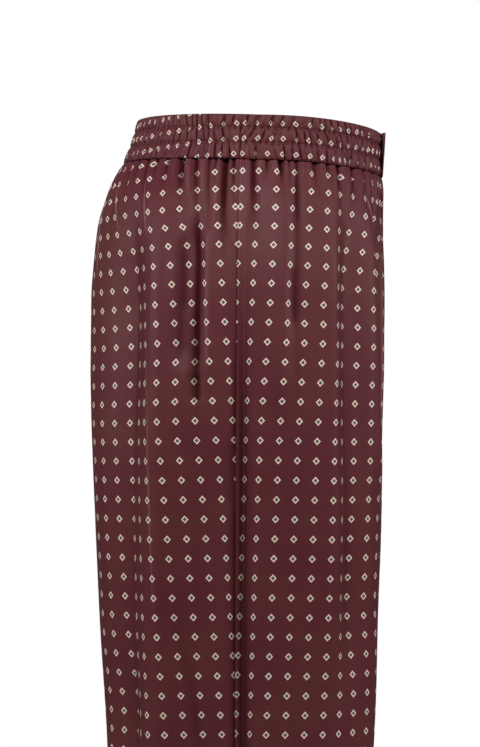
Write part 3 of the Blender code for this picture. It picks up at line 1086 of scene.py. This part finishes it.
@dataclass(frozen=True)
class BandQuarter:
    """A quarter of the waistband: a casing gathered on three channels of elastic."""

    form: PantsForm
    panel: Panel
    side: Side
    columns: int = 300
    outer_rows: int = 50
    inner_rows: int = 8
    casing: float = 0.0027
    puff: float = 0.0015
    slit: float = 0.0036
    pinch: float = 0.0009
    fullness: float = 1.40
    up_pitch: float = 1.26
    edge_dip: float = 0.0009
    edge_share: float = 2.2 / 205
    top_roll: float = 0.0006
    cut_height: float = 0.045
    inner_height: float = 0.041
    measured_row: int = 20

    def profile(self, down: Array) -> Array:
        """Fullness of the casing down its height: 1 in a channel, 0 on its stitching.

        Args:
            down: Places down the band, 0 to 1.

        Returns:
            Fullness at each place.
        """
        full = np.zeros_like(down)
        for top, bottom, *_ in CHANNELS:
            inside = (down >= top) & (down <= bottom)
            t = np.clip((down - top) / (bottom - top), 0, 1)
            full = np.where(inside, np.sin(math.pi * t) ** 0.55, full)
        return np.where(down < 0.12, np.maximum(full, 0.75 * (down > 0.0)), full)

    def under_lap(self, share: Array) -> Array:
        """How flat a front quarter lies towards its lapped end, 0 to 1.

        Args:
            share: Places along the quarter, 0 to 1 from the side seam.

        Returns:
            Flatness at each place.
        """
        if self.panel is Panel.BACK:
            return np.zeros_like(share)
        return 0.96 * ease((share - 0.87) / 0.05)

    def gathers(self, share: Array, down: float) -> Array:
        """Depth of the gathers along one row, 0 on their lobes to 1 in their slits.

        Args:
            share: Places along the quarter, 0 to 1 from the side seam.
            down: Place down the band, 0 to 1.

        Returns:
            Depth at each place.
        """
        total, weights = np.zeros_like(share), 0.0
        offset = {"front": 0.0, "back": 2.1}[self.panel.value]
        offset += 1.3 if self.side is Side.LEFT else 0.0
        for top, bottom, count, seed in CHANNELS:
            middle, half = (top + bottom) / 2, (bottom - top) / 2
            weight = ease(1.25 - abs(down - middle) / half * 0.62)
            if weight <= 0:
                continue
            s = seed + offset
            lean = 0.012 * math.sin(5 * s) * (down - middle) / half
            wander = 0.55 * np.sin(2 * math.pi * 2.3 * share + s)
            wander += 0.30 * np.sin(2 * math.pi * 5.7 * share + 2 * s)
            phase = count * (share + lean * np.sin(9 * share + s)) + wander
            number = np.floor(phase)
            size = 0.45 + 0.55 * np.abs(np.sin(12.9898 * number + 4.1 * s))
            slit = 1 - np.abs(np.sin(math.pi * phase)) ** 0.55
            fine = 1 - np.abs(np.sin(math.pi * (2.6 * phase + 0.8 * np.sin(7 * share)))) ** 0.8
            total += weight * (size * slit + 0.30 * fine)
            weights += weight
        return total / max(weights, 1e-6) * (1 - self.under_lap(share))

    def row(
        self, z: float, lift: Array, share: Array
    ) -> tuple[Array, Array, Array]:
        """Points, distances and outward directions along the band at one height.

        Args:
            z: Height before the tilt.
            lift: How far the casing stands off.
            share: Places along the quarter, 0 to 1.

        Returns:
            The three, one value or line for each place.
        """
        outline = self.form.outline(self.panel, z)
        places = share * outline.distance[-1]
        spots = outline.at(places)
        return self.form.points(spots, lift, z), places, level(spots)

    def grids(self, leg: ClothGrid) -> tuple[ClothGrid, Array]:
        """Place the casing's outer points and its inner ones.

        Args:
            leg: Grid of the leg panel below, whose print runs on into the band.

        Returns:
            The outer grid, and the inner rows from the bottom up.
        """
        share = np.linspace(0, 1, self.columns)
        height = self.form.band_top - self.form.band_bottom
        down = np.linspace(0, 1, self.outer_rows)
        full = self.profile(down)
        points, distances, rough, cut, painted_shading = [], [], [], [], []
        top_cut = leg.cut[0]
        for k, (t, f) in enumerate(zip(down, full)):
            z = self.form.band_top - t * height
            gather = self.gathers(share, t)
            near_line = min(abs(t - line) for line in STITCHED_LINES + (1.0,))
            pinch = self.pinch * max(0.0, 1 - near_line / 0.06)
            lift = -self.puff * (1 - f) - (self.slit * (0.45 + 0.55 * f)) * gather
            lift -= pinch * (0.5 + 0.5 * np.sin(share * 2 * math.pi * 37 + 3 * t))
            edge = np.minimum(share, 1 - share) / self.edge_share
            lift -= self.edge_dip * np.clip(1 - edge, 0, 1) ** 1.6
            if k == 0:
                lift -= self.top_roll
            if self.side is Side.RIGHT:
                lift *= 1 - self.under_lap(share)
            row, places, out = self.row(z, np.maximum(lift, -self.casing + 0.0002), share)
            # painted shade: depth in the gathers' slits, with more along the stitched channel
            # lines and a little along the lower edge, darkens the colour
            painted_depth = crease_shade_depths(places, lift, 0.005, 0.0011)
            painted_depth = painted_depth + 0.42 * (1 - f) * (near_line < 0.05)
            painted_shading.append(np.clip(painted_depth + 0.12 * (t > 0.97), -0.4, 1))
            points.append(row)
            distances.append(places)
            rough.append(out)
            hidden = gather**2 + 0.05
            rate = 1 + (self.fullness - 1) * hidden / hidden.mean()
            run = np.concatenate(([0.0], np.cumsum((rate[1:] + rate[:-1]) / 2)))
            along = places[-1] * run / (len(share) - 1)
            turn = math.copysign(1.0, top_cut[-1, 0] - top_cut[0, 0])
            up = np.interp(share, leg.distance[0] / leg.distance[0, -1], top_cut[:, 1])
            up = up + (1 - t) * height * self.up_pitch
            cut.append(np.stack((top_cut[0, 0] + turn * along, up), axis=1))
        heights = self.form.band_top - down * height
        outer = ClothGrid.from_rows(points, cut, distances, heights, rough, painted_shading)
        inner = []
        for t in np.linspace(1, 0, self.inner_rows):
            z = self.form.band_top - (0.02 + 0.96 * t) * height
            lift = -self.casing - 0.0003 * self.gathers(share, float(t))
            inner.append(self.row(z, lift, share)[0])
        return outer, np.array(inner)

    def build(self, leg: ClothGrid, satin: "Satin", reverse: "Satin") -> ClothGrid:
        """Make the casing.

        Args:
            leg: Right-hand grid of the leg panel below.
            satin: Finish of its outside.
            reverse: Finish of its inside.

        Returns:
            The outer grid.
        """
        outer, inner = self.grids(leg)
        rows = np.concatenate((outer.points, inner))
        cut = np.concatenate((outer.cut, np.repeat(outer.cut[-1:], len(inner), axis=0)))
        cut[len(outer.cut):, :, 1] += np.linspace(0, self.inner_height, len(inner))[:, None]
        inwards = np.repeat(-outer.outwards[-1:], len(inner), axis=0)
        rough = np.concatenate((outer.outwards, inwards))
        if self.side is Side.LEFT:
            rows, rough = rows * MIRROR, rough * MIRROR
            outer = outer.mirrored()
        count, columns = rows.shape[:2]
        points = rows.reshape(-1, 3)
        wall = grid_faces(count, columns)
        numbers = np.arange(count * columns).reshape(count, columns)
        first, last = numbers[0], numbers[-1]
        top = np.stack((last[:-1], first[:-1], first[1:], last[1:]), axis=1)
        faces = faces_outwards(points, np.concatenate((wall, top)), rough.reshape(-1, 3))
        caps = [numbers[:, 0].tolist(), numbers[::-1, -1].tolist()]
        if not np.array_equal(faces[0], wall[0]):
            caps = [cap[::-1] for cap in caps]
        where = f"{self.panel.value}_{self.side.value}"
        piece = mesh_object(f"satin_waistband_{where}", points, list(faces) + caps)
        lay_cut(piece, cut.reshape(-1, 2))
        mark_painted_shading(piece, np.concatenate((outer.painted_shading, np.zeros(inner.shape[:2]))))
        piece.data.materials.append(satin.material())
        piece.data.materials.append(reverse.material())
        first_inner = len(outer.points) * (columns - 1)
        for k in range(first_inner, (count - 1) * (columns - 1)):
            piece.data.polygons[k].material_index = 1
        piece.data.shade_smooth()
        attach(piece, "root")
        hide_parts(f"waistband_{where}")
        steps = np.diff(outer.points[self.measured_row], axis=0)
        width = float(np.linalg.norm(steps, axis=1).sum())
        report(piece, f"flat {width:.3f} x {self.cut_height} m")
        return outer


@dataclass(frozen=True)
class BandLap:
    """The waistband's free end, lapped left over right, its upper corner standing off."""

    form: PantsForm
    width: float = 0.038
    gap: float = 0.0001
    ply: float = 0.0006
    flare_top: float = 0.0046
    flare_bottom: float = 0.0006
    ripple: float = 0.0001
    cloth: float = 0.0005
    columns: int = 60
    rows: int = 44

    def build(self, band: ClothGrid, satin: "Satin", reverse: "Satin") -> None:
        """Make the lap over the right front quarter.

        Args:
            band: Outer grid of that quarter.
            satin: Finish of its face.
            reverse: Finish of its dull inner side, painted much lighter than the satin as painted
                light on that shaded face.
        """
        height = self.form.band_top - self.form.band_bottom
        reach = np.linspace(0, 1, self.columns)
        profile = BandQuarter(self.form, Panel.FRONT, Side.RIGHT)
        points, rough, cut, distances, heights = [], [], [], [], []
        for down in np.linspace(0, 1, self.rows):
            z = self.form.band_top - down * height
            outline = self.form.outline(Panel.FRONT, z)
            places = outline.distance[-1] - reach * self.width
            spots = outline.at(places)
            full = float(profile.profile(np.array([down]))[0])
            flare = (self.flare_top + (self.flare_bottom - self.flare_top) * down) * reach**5
            wave = 1 - np.abs(np.sin(math.pi * (4.6 * reach + 0.5 * math.sin(6 * down)))) ** 0.7
            lift = self.gap + self.ply + flare + self.ripple * (full - 0.8 - 0.9 * wave * full)
            points.append(self.form.points(spots, lift, z))
            rough.append(level(spots))
            along = band.cut[0, -1, 0] - reach * self.width * 1.2
            up = np.full_like(along, band.cut[-1, -1, 1] + (1 - down) * height * 1.1)
            cut.append(np.stack((along, up), axis=1))
            distances.append(places)
            heights.append(z)
        grid = ClothGrid.from_rows(points, cut, distances, heights, rough)
        piece = sheet_from_grid("satin_waistband_lap", grid, self.cloth, satin, reverse)
        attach(piece, "root")
        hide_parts("waistband_overlap")
        report(piece)


@dataclass(frozen=True)
class FlyLap:
    """The fly extension, lapped left over right down the front seam."""

    form: PantsForm
    width: float = 0.038
    gap: float = 0.0002
    ply: float = 0.0007
    last: float = -0.200
    end: float = -0.235
    cloth: float = 0.0006
    columns: int = 48
    rows: int = 110

    def build(self, leg: ClothGrid, satin: "Satin", reverse: "Satin") -> ClothGrid:
        """Make the fly on the right front panel.

        Args:
            leg: Grid of that panel.
            satin: Finish of its face.
            reverse: Finish of its inner side.

        Returns:
            The fly's grid.
        """
        top = self.form.band_bottom - 0.0004
        reach = np.linspace(1, 0, self.columns)
        points, cut, distances, heights, rough = [], [], [], [], []
        for share in np.linspace(0, 1, self.rows):
            row_p, row_c, row_d, row_o = [], [], [], []
            for across in reach:
                bottom = self.last + (self.end - self.last) * math.sqrt(max(0.0, 1 - across**2))
                z = top + (bottom - top) * share
                row = int(np.searchsorted(-leg.heights, -z))
                row = min(max(row, 1), len(leg.heights) - 1)
                t = (leg.heights[row - 1] - z) / (leg.heights[row - 1] - leg.heights[row])
                width = leg.distance[row, -1]
                d = width - across * self.width
                point, out = leg.place(d, z)
                edge = 0.0004 * (1 - min(1.0, (1 - across) * self.width / 0.0015)) ** 2
                swell = 0.0007 * math.exp(-(((1 - across) * self.width - 0.003) / 0.003) ** 2)
                lift = self.gap + self.ply - edge + swell
                level = np.array((out[0], out[1], 0.0))
                level /= np.linalg.norm(level)
                place = point + level * lift
                place[0] = min(place[0], -CENTRE)
                row_p.append(place)
                row_o.append(out)
                row_d.append(d)
                here = [
                    np.interp(d, leg.distance[k], leg.cut[k, :, axis])
                    for k in (row - 1, row)
                    for axis in (0, 1)
                ]
                row_c.append(
                    (here[0] + (here[2] - here[0]) * t, here[1] + (here[3] - here[1]) * t)
                )
            points.append(row_p)
            cut.append(row_c)
            distances.append(row_d)
            rough.append(row_o)
            heights.append(top + (self.last - top) * share)
        rows = (np.array(values) for values in (points, cut, distances, heights, rough))
        grid = ClothGrid(*rows, np.zeros((self.rows, self.columns)))
        piece = sheet_from_grid("satin_fly_lap", grid, self.cloth, satin, reverse)
        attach(piece, "root")
        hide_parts("fly_overlap")
        report(piece)
        return grid


POCKET_ROWS = (
    # height, start and end from the side seam: the pocket's bar tacks and closing rows
    (-0.0410, 0.0060, 0.0105),
    (-0.0422, 0.0060, 0.0105),
    (-0.0565, 0.0060, 0.0105),
    (-0.0577, 0.0060, 0.0105),
    (-0.2407, 0.0008, 0.0090),
    (-0.2633, 0.0008, 0.0090),
    (-0.2766, 0.0008, 0.0090),
)
Grids = dict[tuple[Panel, Side], ClothGrid]


@dataclass(frozen=True)
class Stitching:
    """Rows of machine stitches, copied from one modelled stitch."""

    form: PantsForm
    thread: "Thread"
    felled_rows: tuple[float, float] = (0.0018, 0.0072)
    full_width: tuple[float, float] = (0.001, 1.0)
    hem_height: float = 0.0235
    fly_column: int = 6
    pitch: float = 0.0023
    length: float = 0.0016
    thickness: float = 0.00038
    sink: float = 0.00006
    flatness: float = 0.8

    def template(self) -> tuple[Array, list[tuple[int, ...]]]:
        """Model one stitch, one unit long, along +X.

        Returns:
            Its points and faces.
        """
        bpy.ops.object.select_all(action="DESELECT")
        bpy.ops.mesh.primitive_uv_sphere_add(segments=6, ring_count=5, radius=0.5)
        ball = bpy.context.object
        bpy.ops.object.mode_set(mode="EDIT")
        bpy.ops.mesh.select_all(action="SELECT")
        bpy.ops.transform.rotate(value=math.pi / 2, orient_axis="Y", center_override=(0, 0, 0))
        bpy.ops.object.mode_set(mode="OBJECT")
        points = np.array([v.co[:] for v in ball.data.vertices])
        points[:, 0] = np.sign(points[:, 0]) * (np.abs(points[:, 0]) * 2) ** 0.6 / 2
        faces = [tuple(face.vertices) for face in ball.data.polygons]
        bpy.data.objects.remove(ball)
        return points, faces

    def along(self, path: Array, outwards: Array) -> list[tuple[Array, ...]]:
        """Space stitches along a path on the cloth.

        Args:
            path: Points of the path.
            outwards: Outward directions there.

        Returns:
            Middle, direction and outward direction of each stitch.
        """
        steps = np.linalg.norm(np.diff(path, axis=0), axis=1)
        run = np.concatenate(([0.0], np.cumsum(steps)))
        count = max(1, int(run[-1] / self.pitch))
        stitches = []
        for k in range(count):
            middle = (k + 0.5) * run[-1] / count
            start, end = (
                read_line(middle + half * self.length, run, path) for half in (-0.5, 0.5)
            )
            out = read_line(middle, run, outwards)
            ahead = end - start
            size = np.linalg.norm(ahead)
            if size > 1e-6:
                stitches.append(((start + end) / 2, ahead / size, out / np.linalg.norm(out)))
        return stitches

    def sew(self, name: str, lines: Sequence[Line]) -> None:
        """Make one piece of all the stitches along some lines.

        Args:
            name: Name of the piece.
            lines: Points and outward directions of each line.
        """
        shape, faces = self.template()
        points, all_faces = [], []
        for path, outwards in lines:
            for middle, ahead, out in self.along(path, outwards):
                across = np.cross(out, ahead)
                across /= np.linalg.norm(across)
                up = np.cross(ahead, across)
                start = len(points) * len(shape)
                local = (
                    shape[:, :1] * self.length * ahead
                    + shape[:, 1:2] * self.thickness * across
                    + shape[:, 2:] * self.thickness * self.flatness * up
                )
                points.append(middle + local + out * self.sink)
                all_faces += [tuple(v + start for v in face) for face in faces]
        piece = mesh_object(name, np.concatenate(points), all_faces)
        piece.data.materials.append(self.thread.material())
        piece.data.shade_smooth()
        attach(piece, "root")
        report(piece, f"{len(points)} stitches")

    def sew_side(self, side: Side, legs: Grids, bands: Grids) -> None:
        """Sew the side seam with its pocket, the hem and the waistband of one side.

        Args:
            side: Side of the wearer.
            legs: Grids of the leg panels.
            bands: Grids of the waistband's quarters.
        """
        front, form = legs[Panel.FRONT, side], self.form
        top, bottom = form.band_bottom - 0.003, form.hem + 0.002
        lines = [front.down(distance, top, bottom, 0.004) for distance in self.felled_rows]
        lines += [front.across(*row, 0.001) for row in POCKET_ROWS]
        self.sew(f"side_stitching_{side.value}", lines)
        hem = form.hem + self.hem_height
        lines = [legs[panel, side].across(hem, *self.full_width, 0.003) for panel in Panel]
        self.sew(f"hem_stitching_{side.value}", lines)
        rows = [form.band_top - t * (form.band_top - form.band_bottom) for t in STITCHED_LINES]
        lines = [
            bands[panel, side].across(z, *self.full_width, 0.001) for panel in Panel for z in rows
        ]
        self.sew(f"band_stitching_{side.value}", lines)

    def sew_fly(self, fly: ClothGrid) -> None:
        """Sew one row down the fly, near its free edge."""
        row = self.fly_column
        self.sew("fly_stitching", [(fly.points[:, row], fly.outwards[:, row])])


class NodeMaker:
    """Adds and links the nodes of one material."""

    def __init__(self, name: str) -> None:
        """Start a material with its Principled shader.

        Args:
            name: Name of the material.
        """
        self.material = bpy.data.materials.new(name)
        self.material.use_nodes = True
        self.tree = self.material.node_tree
        self.shader = self.tree.nodes["Principled BSDF"]

    def add(self, kind: str, **values: object) -> bpy.types.Node:
        """Add a node and set its properties.

        Args:
            kind: Type of the node.
            values: Its properties.

        Returns:
            The node.
        """
        node = self.tree.nodes.new(kind)
        for key, value in values.items():
            setattr(node, key, value)
        return node

    def link(self, source: Socket, target: Socket) -> None:
        """Link two sockets."""
        self.tree.links.new(source, target)

    def fill(self, node: bpy.types.Node, **values: object) -> None:
        """Set a node's sockets; an underline stands for each space in their names.

        Args:
            node: The node.
            values: Values of its sockets.
        """
        for name, value in values.items():
            node.inputs[name.replace("_", " ")].default_value = value

    def vector(self, operation: str, a: Socket, b: Sequence[float] = (0, 0, 0)) -> Socket:
        """Vector arithmetic with a constant.

        Args:
            operation: Name of the operation.
            a: First vector.
            b: The constant.

        Returns:
            The result.
        """
        node = self.add("ShaderNodeVectorMath", operation=operation)
        self.link(a, node.inputs[0])
        node.inputs[1].default_value = b
        return node.outputs[0]

    def number(self, operation: str, a: Socket, b: Socket | float = 0.0) -> Socket:
        """Arithmetic of a socket with another socket or a constant.

        Args:
            operation: Name of the operation.
            a: First number.
            b: Second number.

        Returns:
            The result.
        """
        node = self.add("ShaderNodeMath", operation=operation)
        self.link(a, node.inputs[0])
        if isinstance(b, (int, float)):
            node.inputs[1].default_value = b
        else:
            self.link(b, node.inputs[1])
        return node.outputs[0]

    def step(
        self, value: Socket, low: float, high: float, start: float = 0.0, end: float = 1.0
    ) -> Socket:
        """Smooth step of a value between two limits.

        Args:
            value: The value.
            low: Where the step starts.
            high: Where it ends.
            start: Result at its start.
            end: Result at its end.

        Returns:
            The result.
        """
        node = self.add("ShaderNodeMapRange", interpolation_type="SMOOTHSTEP")
        self.link(value, node.inputs["Value"])
        self.fill(node, From_Min=low, From_Max=high, To_Min=start, To_Max=end)
        return node.outputs["Result"]

    def mix(self, share: Socket, a: object, b: object) -> Socket:
        """Mix two colours, each a socket or a constant.

        Args:
            share: Share of the second colour.
            a: First colour.
            b: Second colour.

        Returns:
            The mixed colour.
        """
        node = self.add("ShaderNodeMix", data_type="RGBA")
        self.link(share, node.inputs[0])
        for socket, value in ((node.inputs[6], a), (node.inputs[7], b)):
            if isinstance(value, Socket):
                self.link(value, socket)
            else:
                socket.default_value = (*value, 1.0)
        return node.outputs[2]

    def noise(self, where: Socket, scale: float, detail: float = 2.0) -> Socket:
        """Noise of a scale, from 0 to 1.

        Args:
            where: Place that it reads.
            scale: Its scale.
            detail: Its detail.

        Returns:
            The noise.
        """
        node = self.add("ShaderNodeTexNoise")
        self.link(where, node.inputs["Vector"])
        self.fill(node, Scale=scale, Detail=detail)
        return node.outputs["Fac"]

    def surface(self, colour: Socket, height: Socket, distance: float) -> bpy.types.Material:
        """Finish the material.

        Args:
            colour: Its base colour.
            height: Its fine relief.
            distance: Metres that one unit of relief stands for.

        Returns:
            The material.
        """
        self.link(colour, self.shader.inputs["Base Color"])
        bump = self.add("ShaderNodeBump")
        self.fill(bump, Strength=1.0, Distance=distance)
        self.link(height, bump.inputs["Height"])
        self.link(bump.outputs[0], self.shader.inputs["Normal"])
        return self.material


class Finish:
    """A finish whose material is made once."""

    name: str

    def make(self, m: NodeMaker) -> bpy.types.Material:
        """Make the material."""
        raise NotImplementedError

    def material(self) -> bpy.types.Material:
        """The material, made once."""
        return bpy.data.materials.get(self.name) or self.make(NodeMaker(self.name))


@dataclass(frozen=True)
class Satin(Finish):
    """Silk satin with a small printed diamond repeat, painted shade in its creases and a painted
    highlight on its crests.
    """

    name: str
    print_grid: PrintGrid
    ground: tuple[float, float, float] = (0.108, 0.0215, 0.0300)
    ground_warm: tuple[float, float, float] = (0.116, 0.0270, 0.0285)
    ring: tuple[float, float, float] = (0.90, 0.69, 0.62)
    ring_warm: tuple[float, float, float] = (0.86, 0.67, 0.53)
    # painted shade colour for creases and painted highlight colour for crests, with the greatest
    # share of each
    painted_crease_shade: tuple[float, float, float] = (0.018, 0.0020, 0.0040)
    crest: tuple[float, float, float] = (0.46, 0.230, 0.250)
    crease_shade_share: float = 0.80
    crest_highlight_share: float = 0.75
    centre: tuple[float, float, float] = (0.095, 0.100, 0.086)
    ring_outer: float = 0.0035
    ring_inner: float = 0.0020
    narrowing: float = 1.09
    edge: float = 0.00022
    print_strength: float = 1.0
    roughness: float = 0.50
    gloss: float = 0.16
    weave: float = 0.00003
    crumple: float = 0.0003
    fray: float = 0.0005

    def make(self, m: NodeMaker) -> bpy.types.Material:
        """Make the material.

        Args:
            m: Maker of its nodes.

        Returns:
            The material of this finish.
        """
        cut = m.add("ShaderNodeUVMap", uv_map=CUT).outputs[0]
        place = m.add("ShaderNodeTexCoord").outputs["Object"]
        grid = self.print_grid
        scaled = m.vector("DIVIDE", cut, (grid.column_pitch, grid.row_pitch, 1.0))
        centred = m.vector("SUBTRACT", m.vector("FRACTION", scaled), (0.5, 0.5, 0.0))
        pitches = (grid.column_pitch, grid.row_pitch, 0.0)
        metres = m.vector("MULTIPLY", m.vector("ABSOLUTE", centred), pitches)
        parts = m.add("ShaderNodeSeparateXYZ")
        m.link(metres, parts.inputs[0])
        sideways = m.number("MULTIPLY", parts.outputs[0], self.narrowing)
        reach = m.number("ADD", sideways, parts.outputs[1])
        uneven = m.number("SUBTRACT", m.noise(cut, 1400.0), 0.5)
        reach = m.number("ADD", reach, m.number("MULTIPLY", uneven, self.fray))
        outer, inner = (
            m.step(reach, size - self.edge, size + self.edge, 1.0, 0.0)
            for size in (self.ring_outer, self.ring_inner)
        )
        if self.print_strength < 1:
            outer = m.number("MULTIPLY", outer, self.print_strength)
        cell = m.add("ShaderNodeTexWhiteNoise", noise_dimensions="2D")
        m.link(m.vector("FLOOR", scaled), cell.inputs["Vector"])
        tone = m.noise(place, 16.0)
        ground = m.mix(m.step(tone, 0.35, 0.65), self.ground, self.ground_warm)
        ring = m.mix(cell.outputs["Value"], self.ring, self.ring_warm)
        colour = m.mix(outer, ground, ring)
        colour = m.mix(m.number("MULTIPLY", inner, outer), colour, self.centre)
        # painted shade darkens the colour in creases and a painted highlight lightens it on crests
        painted_shading = m.add("ShaderNodeAttribute", attribute_name=PAINTED_SHADING).outputs["Fac"]
        colour = m.mix(m.step(painted_shading, 0.0, 1.0, 0.0, self.crease_shade_share), colour, self.painted_crease_shade)
        colour = m.mix(m.step(painted_shading, -0.25, -1.0, 0.0, self.crest_highlight_share), colour, self.crest)
        slub = m.noise(m.vector("MULTIPLY", cut, (1800.0, 90.0, 1.0)), 1.0)
        blotches = m.number("ADD", slub, m.noise(place, 25.0))
        rough = m.step(blotches, 0.6, 1.4, self.roughness - 0.05, self.roughness + 0.07)
        m.link(rough, m.shader.inputs["Roughness"])
        # creases also lose their gloss, as painted shade on the reflections
        gloss = m.step(painted_shading, 0.0, 0.8, self.gloss, 0.0)
        m.link(gloss, m.shader.inputs["Specular IOR Level"])
        m.fill(m.shader, Anisotropic=0.35)
        threads = m.number("MULTIPLY", slub, self.weave)
        soft = m.noise(m.vector("MULTIPLY", place, (1.0, 1.0, 0.35)), 70.0, 3.0)
        relief = m.number("ADD", threads, m.number("MULTIPLY", soft, self.crumple))
        return m.surface(colour, relief, 1.0)


@dataclass(frozen=True)
class Thread(Finish):
    """Fine twisted sewing thread, a little lighter than the cloth."""

    name: str = "maroon thread"
    colour: tuple[float, float, float] = (0.23, 0.090, 0.110)
    dark: tuple[float, float, float] = (0.14, 0.045, 0.058)

    def make(self, m: NodeMaker) -> bpy.types.Material:
        """Make the material from its nodes."""
        strands = m.noise(m.add("ShaderNodeTexCoord").outputs["Object"], 2600.0)
        m.fill(m.shader, Roughness=0.5)
        colour = m.mix(m.step(strands, 0.3, 0.7), self.dark, self.colour)
        return m.surface(colour, strands, 0.0001)


@dataclass(frozen=True)
class Studio:
    """Pale floor, soft lights, white surroundings and the camera."""

    floor_z: float = -1.045
    floor_radius: float = 1.6
    camera_distance: float = 3.1
    camera_y: float = 0.019
    camera_z: float = -0.2124
    lens: float = 158.3

    def build(self) -> None:
        """Make all of it."""
        self.floor()
        self.lights()
        self.surroundings()
        self.camera()

    def floor(self) -> None:
        """A pale round floor under the hems."""
        bpy.ops.object.select_all(action="DESELECT")
        bpy.ops.mesh.primitive_cylinder_add(
            vertices=96, radius=self.floor_radius, depth=0.02, location=(0, 0, self.floor_z - 0.01)
        )
        floor = bpy.context.object
        floor.name = "studio_floor"
        bpy.ops.object.transform_apply(location=True, rotation=True, scale=True)
        m = NodeMaker("pale floor")
        place = m.add("ShaderNodeTexCoord").outputs["Object"]
        colour = m.mix(m.noise(place, 3.0), (0.72, 0.71, 0.69), (0.76, 0.75, 0.73))
        m.link(colour, m.shader.inputs["Base Color"])
        m.fill(m.shader, Roughness=0.8)
        floor.data.materials.append(m.material)

    def light(
        self,
        name: str,
        place: Sequence[float],
        target: Sequence[float],
        size: tuple[float, float],
        watts: float,
    ) -> None:
        """Add a soft rectangular light that faces a target.

        Args:
            name: Name of the light.
            place: Where it stands.
            target: What it faces.
            size: Its width and height.
            watts: Its power.
        """
        data = bpy.data.lights.new(name, "AREA")
        data.shape = "RECTANGLE"
        data.size, data.size_y = size
        data.energy = watts
        lamp = bpy.data.objects.new(name, data)
        lamp.location = place
        aim = Vector(target) - Vector(place)
        lamp.rotation_euler = aim.to_track_quat("-Z", "Y").to_euler()
        lamp.visible_camera = False
        bpy.context.scene.collection.objects.link(lamp)

    def lights(self) -> None:
        """Large soft lights, brighter from above."""
        self.light("key", (-1.2, 0.05, 0.72), (-0.15, 0, -0.05), (1.0, 0.7), 15)
        self.light("front_side", (-0.5, -2.0, 0.6), (0, 0, -0.1), (0.8, 1.2), 21)
        self.light("back_side", (-0.5, 2.1, 0.6), (0, 0, -0.1), (0.8, 1.2), 21)
        self.light("far_side", (2.4, 0.2, 0.3), (0, 0, -0.3), (3.0, 2.4), 5)

    def surroundings(self) -> None:
        """Plain white, dimmer as a light than as a background."""
        world = bpy.data.worlds.new("white")
        bpy.context.scene.world = world
        world.use_nodes = True
        nodes, links = world.node_tree.nodes, world.node_tree.links
        background = nodes["Background"]
        background.inputs["Color"].default_value = (1, 1, 1, 1)
        path = nodes.new("ShaderNodeLightPath")
        level = nodes.new("ShaderNodeMapRange")
        level.inputs["To Min"].default_value = 0.075
        level.inputs["To Max"].default_value = 1.0
        links.new(path.outputs["Is Camera Ray"], level.inputs["Value"])
        links.new(level.outputs["Result"], background.inputs["Strength"])

    def camera(self) -> None:
        """A level camera at the wearer's right, far off."""
        data = bpy.data.cameras.new("camera")
        data.lens = self.lens
        data.sensor_width = 36
        data.clip_end = 50
        camera = bpy.data.objects.new("camera", data)
        camera.location = (-self.camera_distance, self.camera_y, self.camera_z)
        camera.rotation_euler = Vector((1, 0, 0)).to_track_quat("-Z", "Y").to_euler()
        scene = bpy.context.scene
        scene.collection.objects.link(camera)
        scene.camera = camera
        scene.view_settings.view_transform = "Standard"
        scene.view_settings.look = "None"
        scene.view_settings.exposure = 0.0
        scene.view_settings.gamma = 1.0


def main() -> None:
    """Build the studio and every piece of the pants, and report them."""
    logging.basicConfig(level=logging.INFO, format="%(message)s")
    Studio().build()
    form = PantsForm()
    drape = Drape(form)
    print_grid = PrintGrid()
    satin = Satin("printed satin", print_grid)
    reverse = Satin(
        "satin reverse",
        print_grid,
        ground=(0.070, 0.0160, 0.0210),
        ground_warm=(0.074, 0.0190, 0.0220),
        print_strength=0.08,
        roughness=0.62,
        gloss=0.1,
    )
    # painted light: the lap's inner side lies in shade, so its ground is painted far lighter than
    # the satin's own
    lit_lap_reverse = Satin(
        "lap reverse with painted light",
        print_grid,
        ground=(0.300, 0.120, 0.115),
        ground_warm=(0.320, 0.130, 0.120),
        print_strength=0.0,
        roughness=0.8,
    )
    legs: Grids = {}
    bands: Grids = {}
    for side in Side:
        for panel in Panel:
            leg = LegPanel(form, drape, print_grid, panel, side).build(satin, reverse)
            right_hand = leg.mirrored() if side is Side.LEFT else leg
            legs[panel, side] = leg
            bands[panel, side] = BandQuarter(form, panel, side).build(right_hand, satin, reverse)
    BandLap(form).build(bands[Panel.FRONT, Side.RIGHT], satin, lit_lap_reverse)
    fly = FlyLap(form).build(legs[Panel.FRONT, Side.RIGHT], satin, reverse)
    stitching = Stitching(form, Thread())
    for side in Side:
        stitching.sew_side(side, legs, bands)
    stitching.sew_fly(fly)


if __name__ == "__main__":
    main()
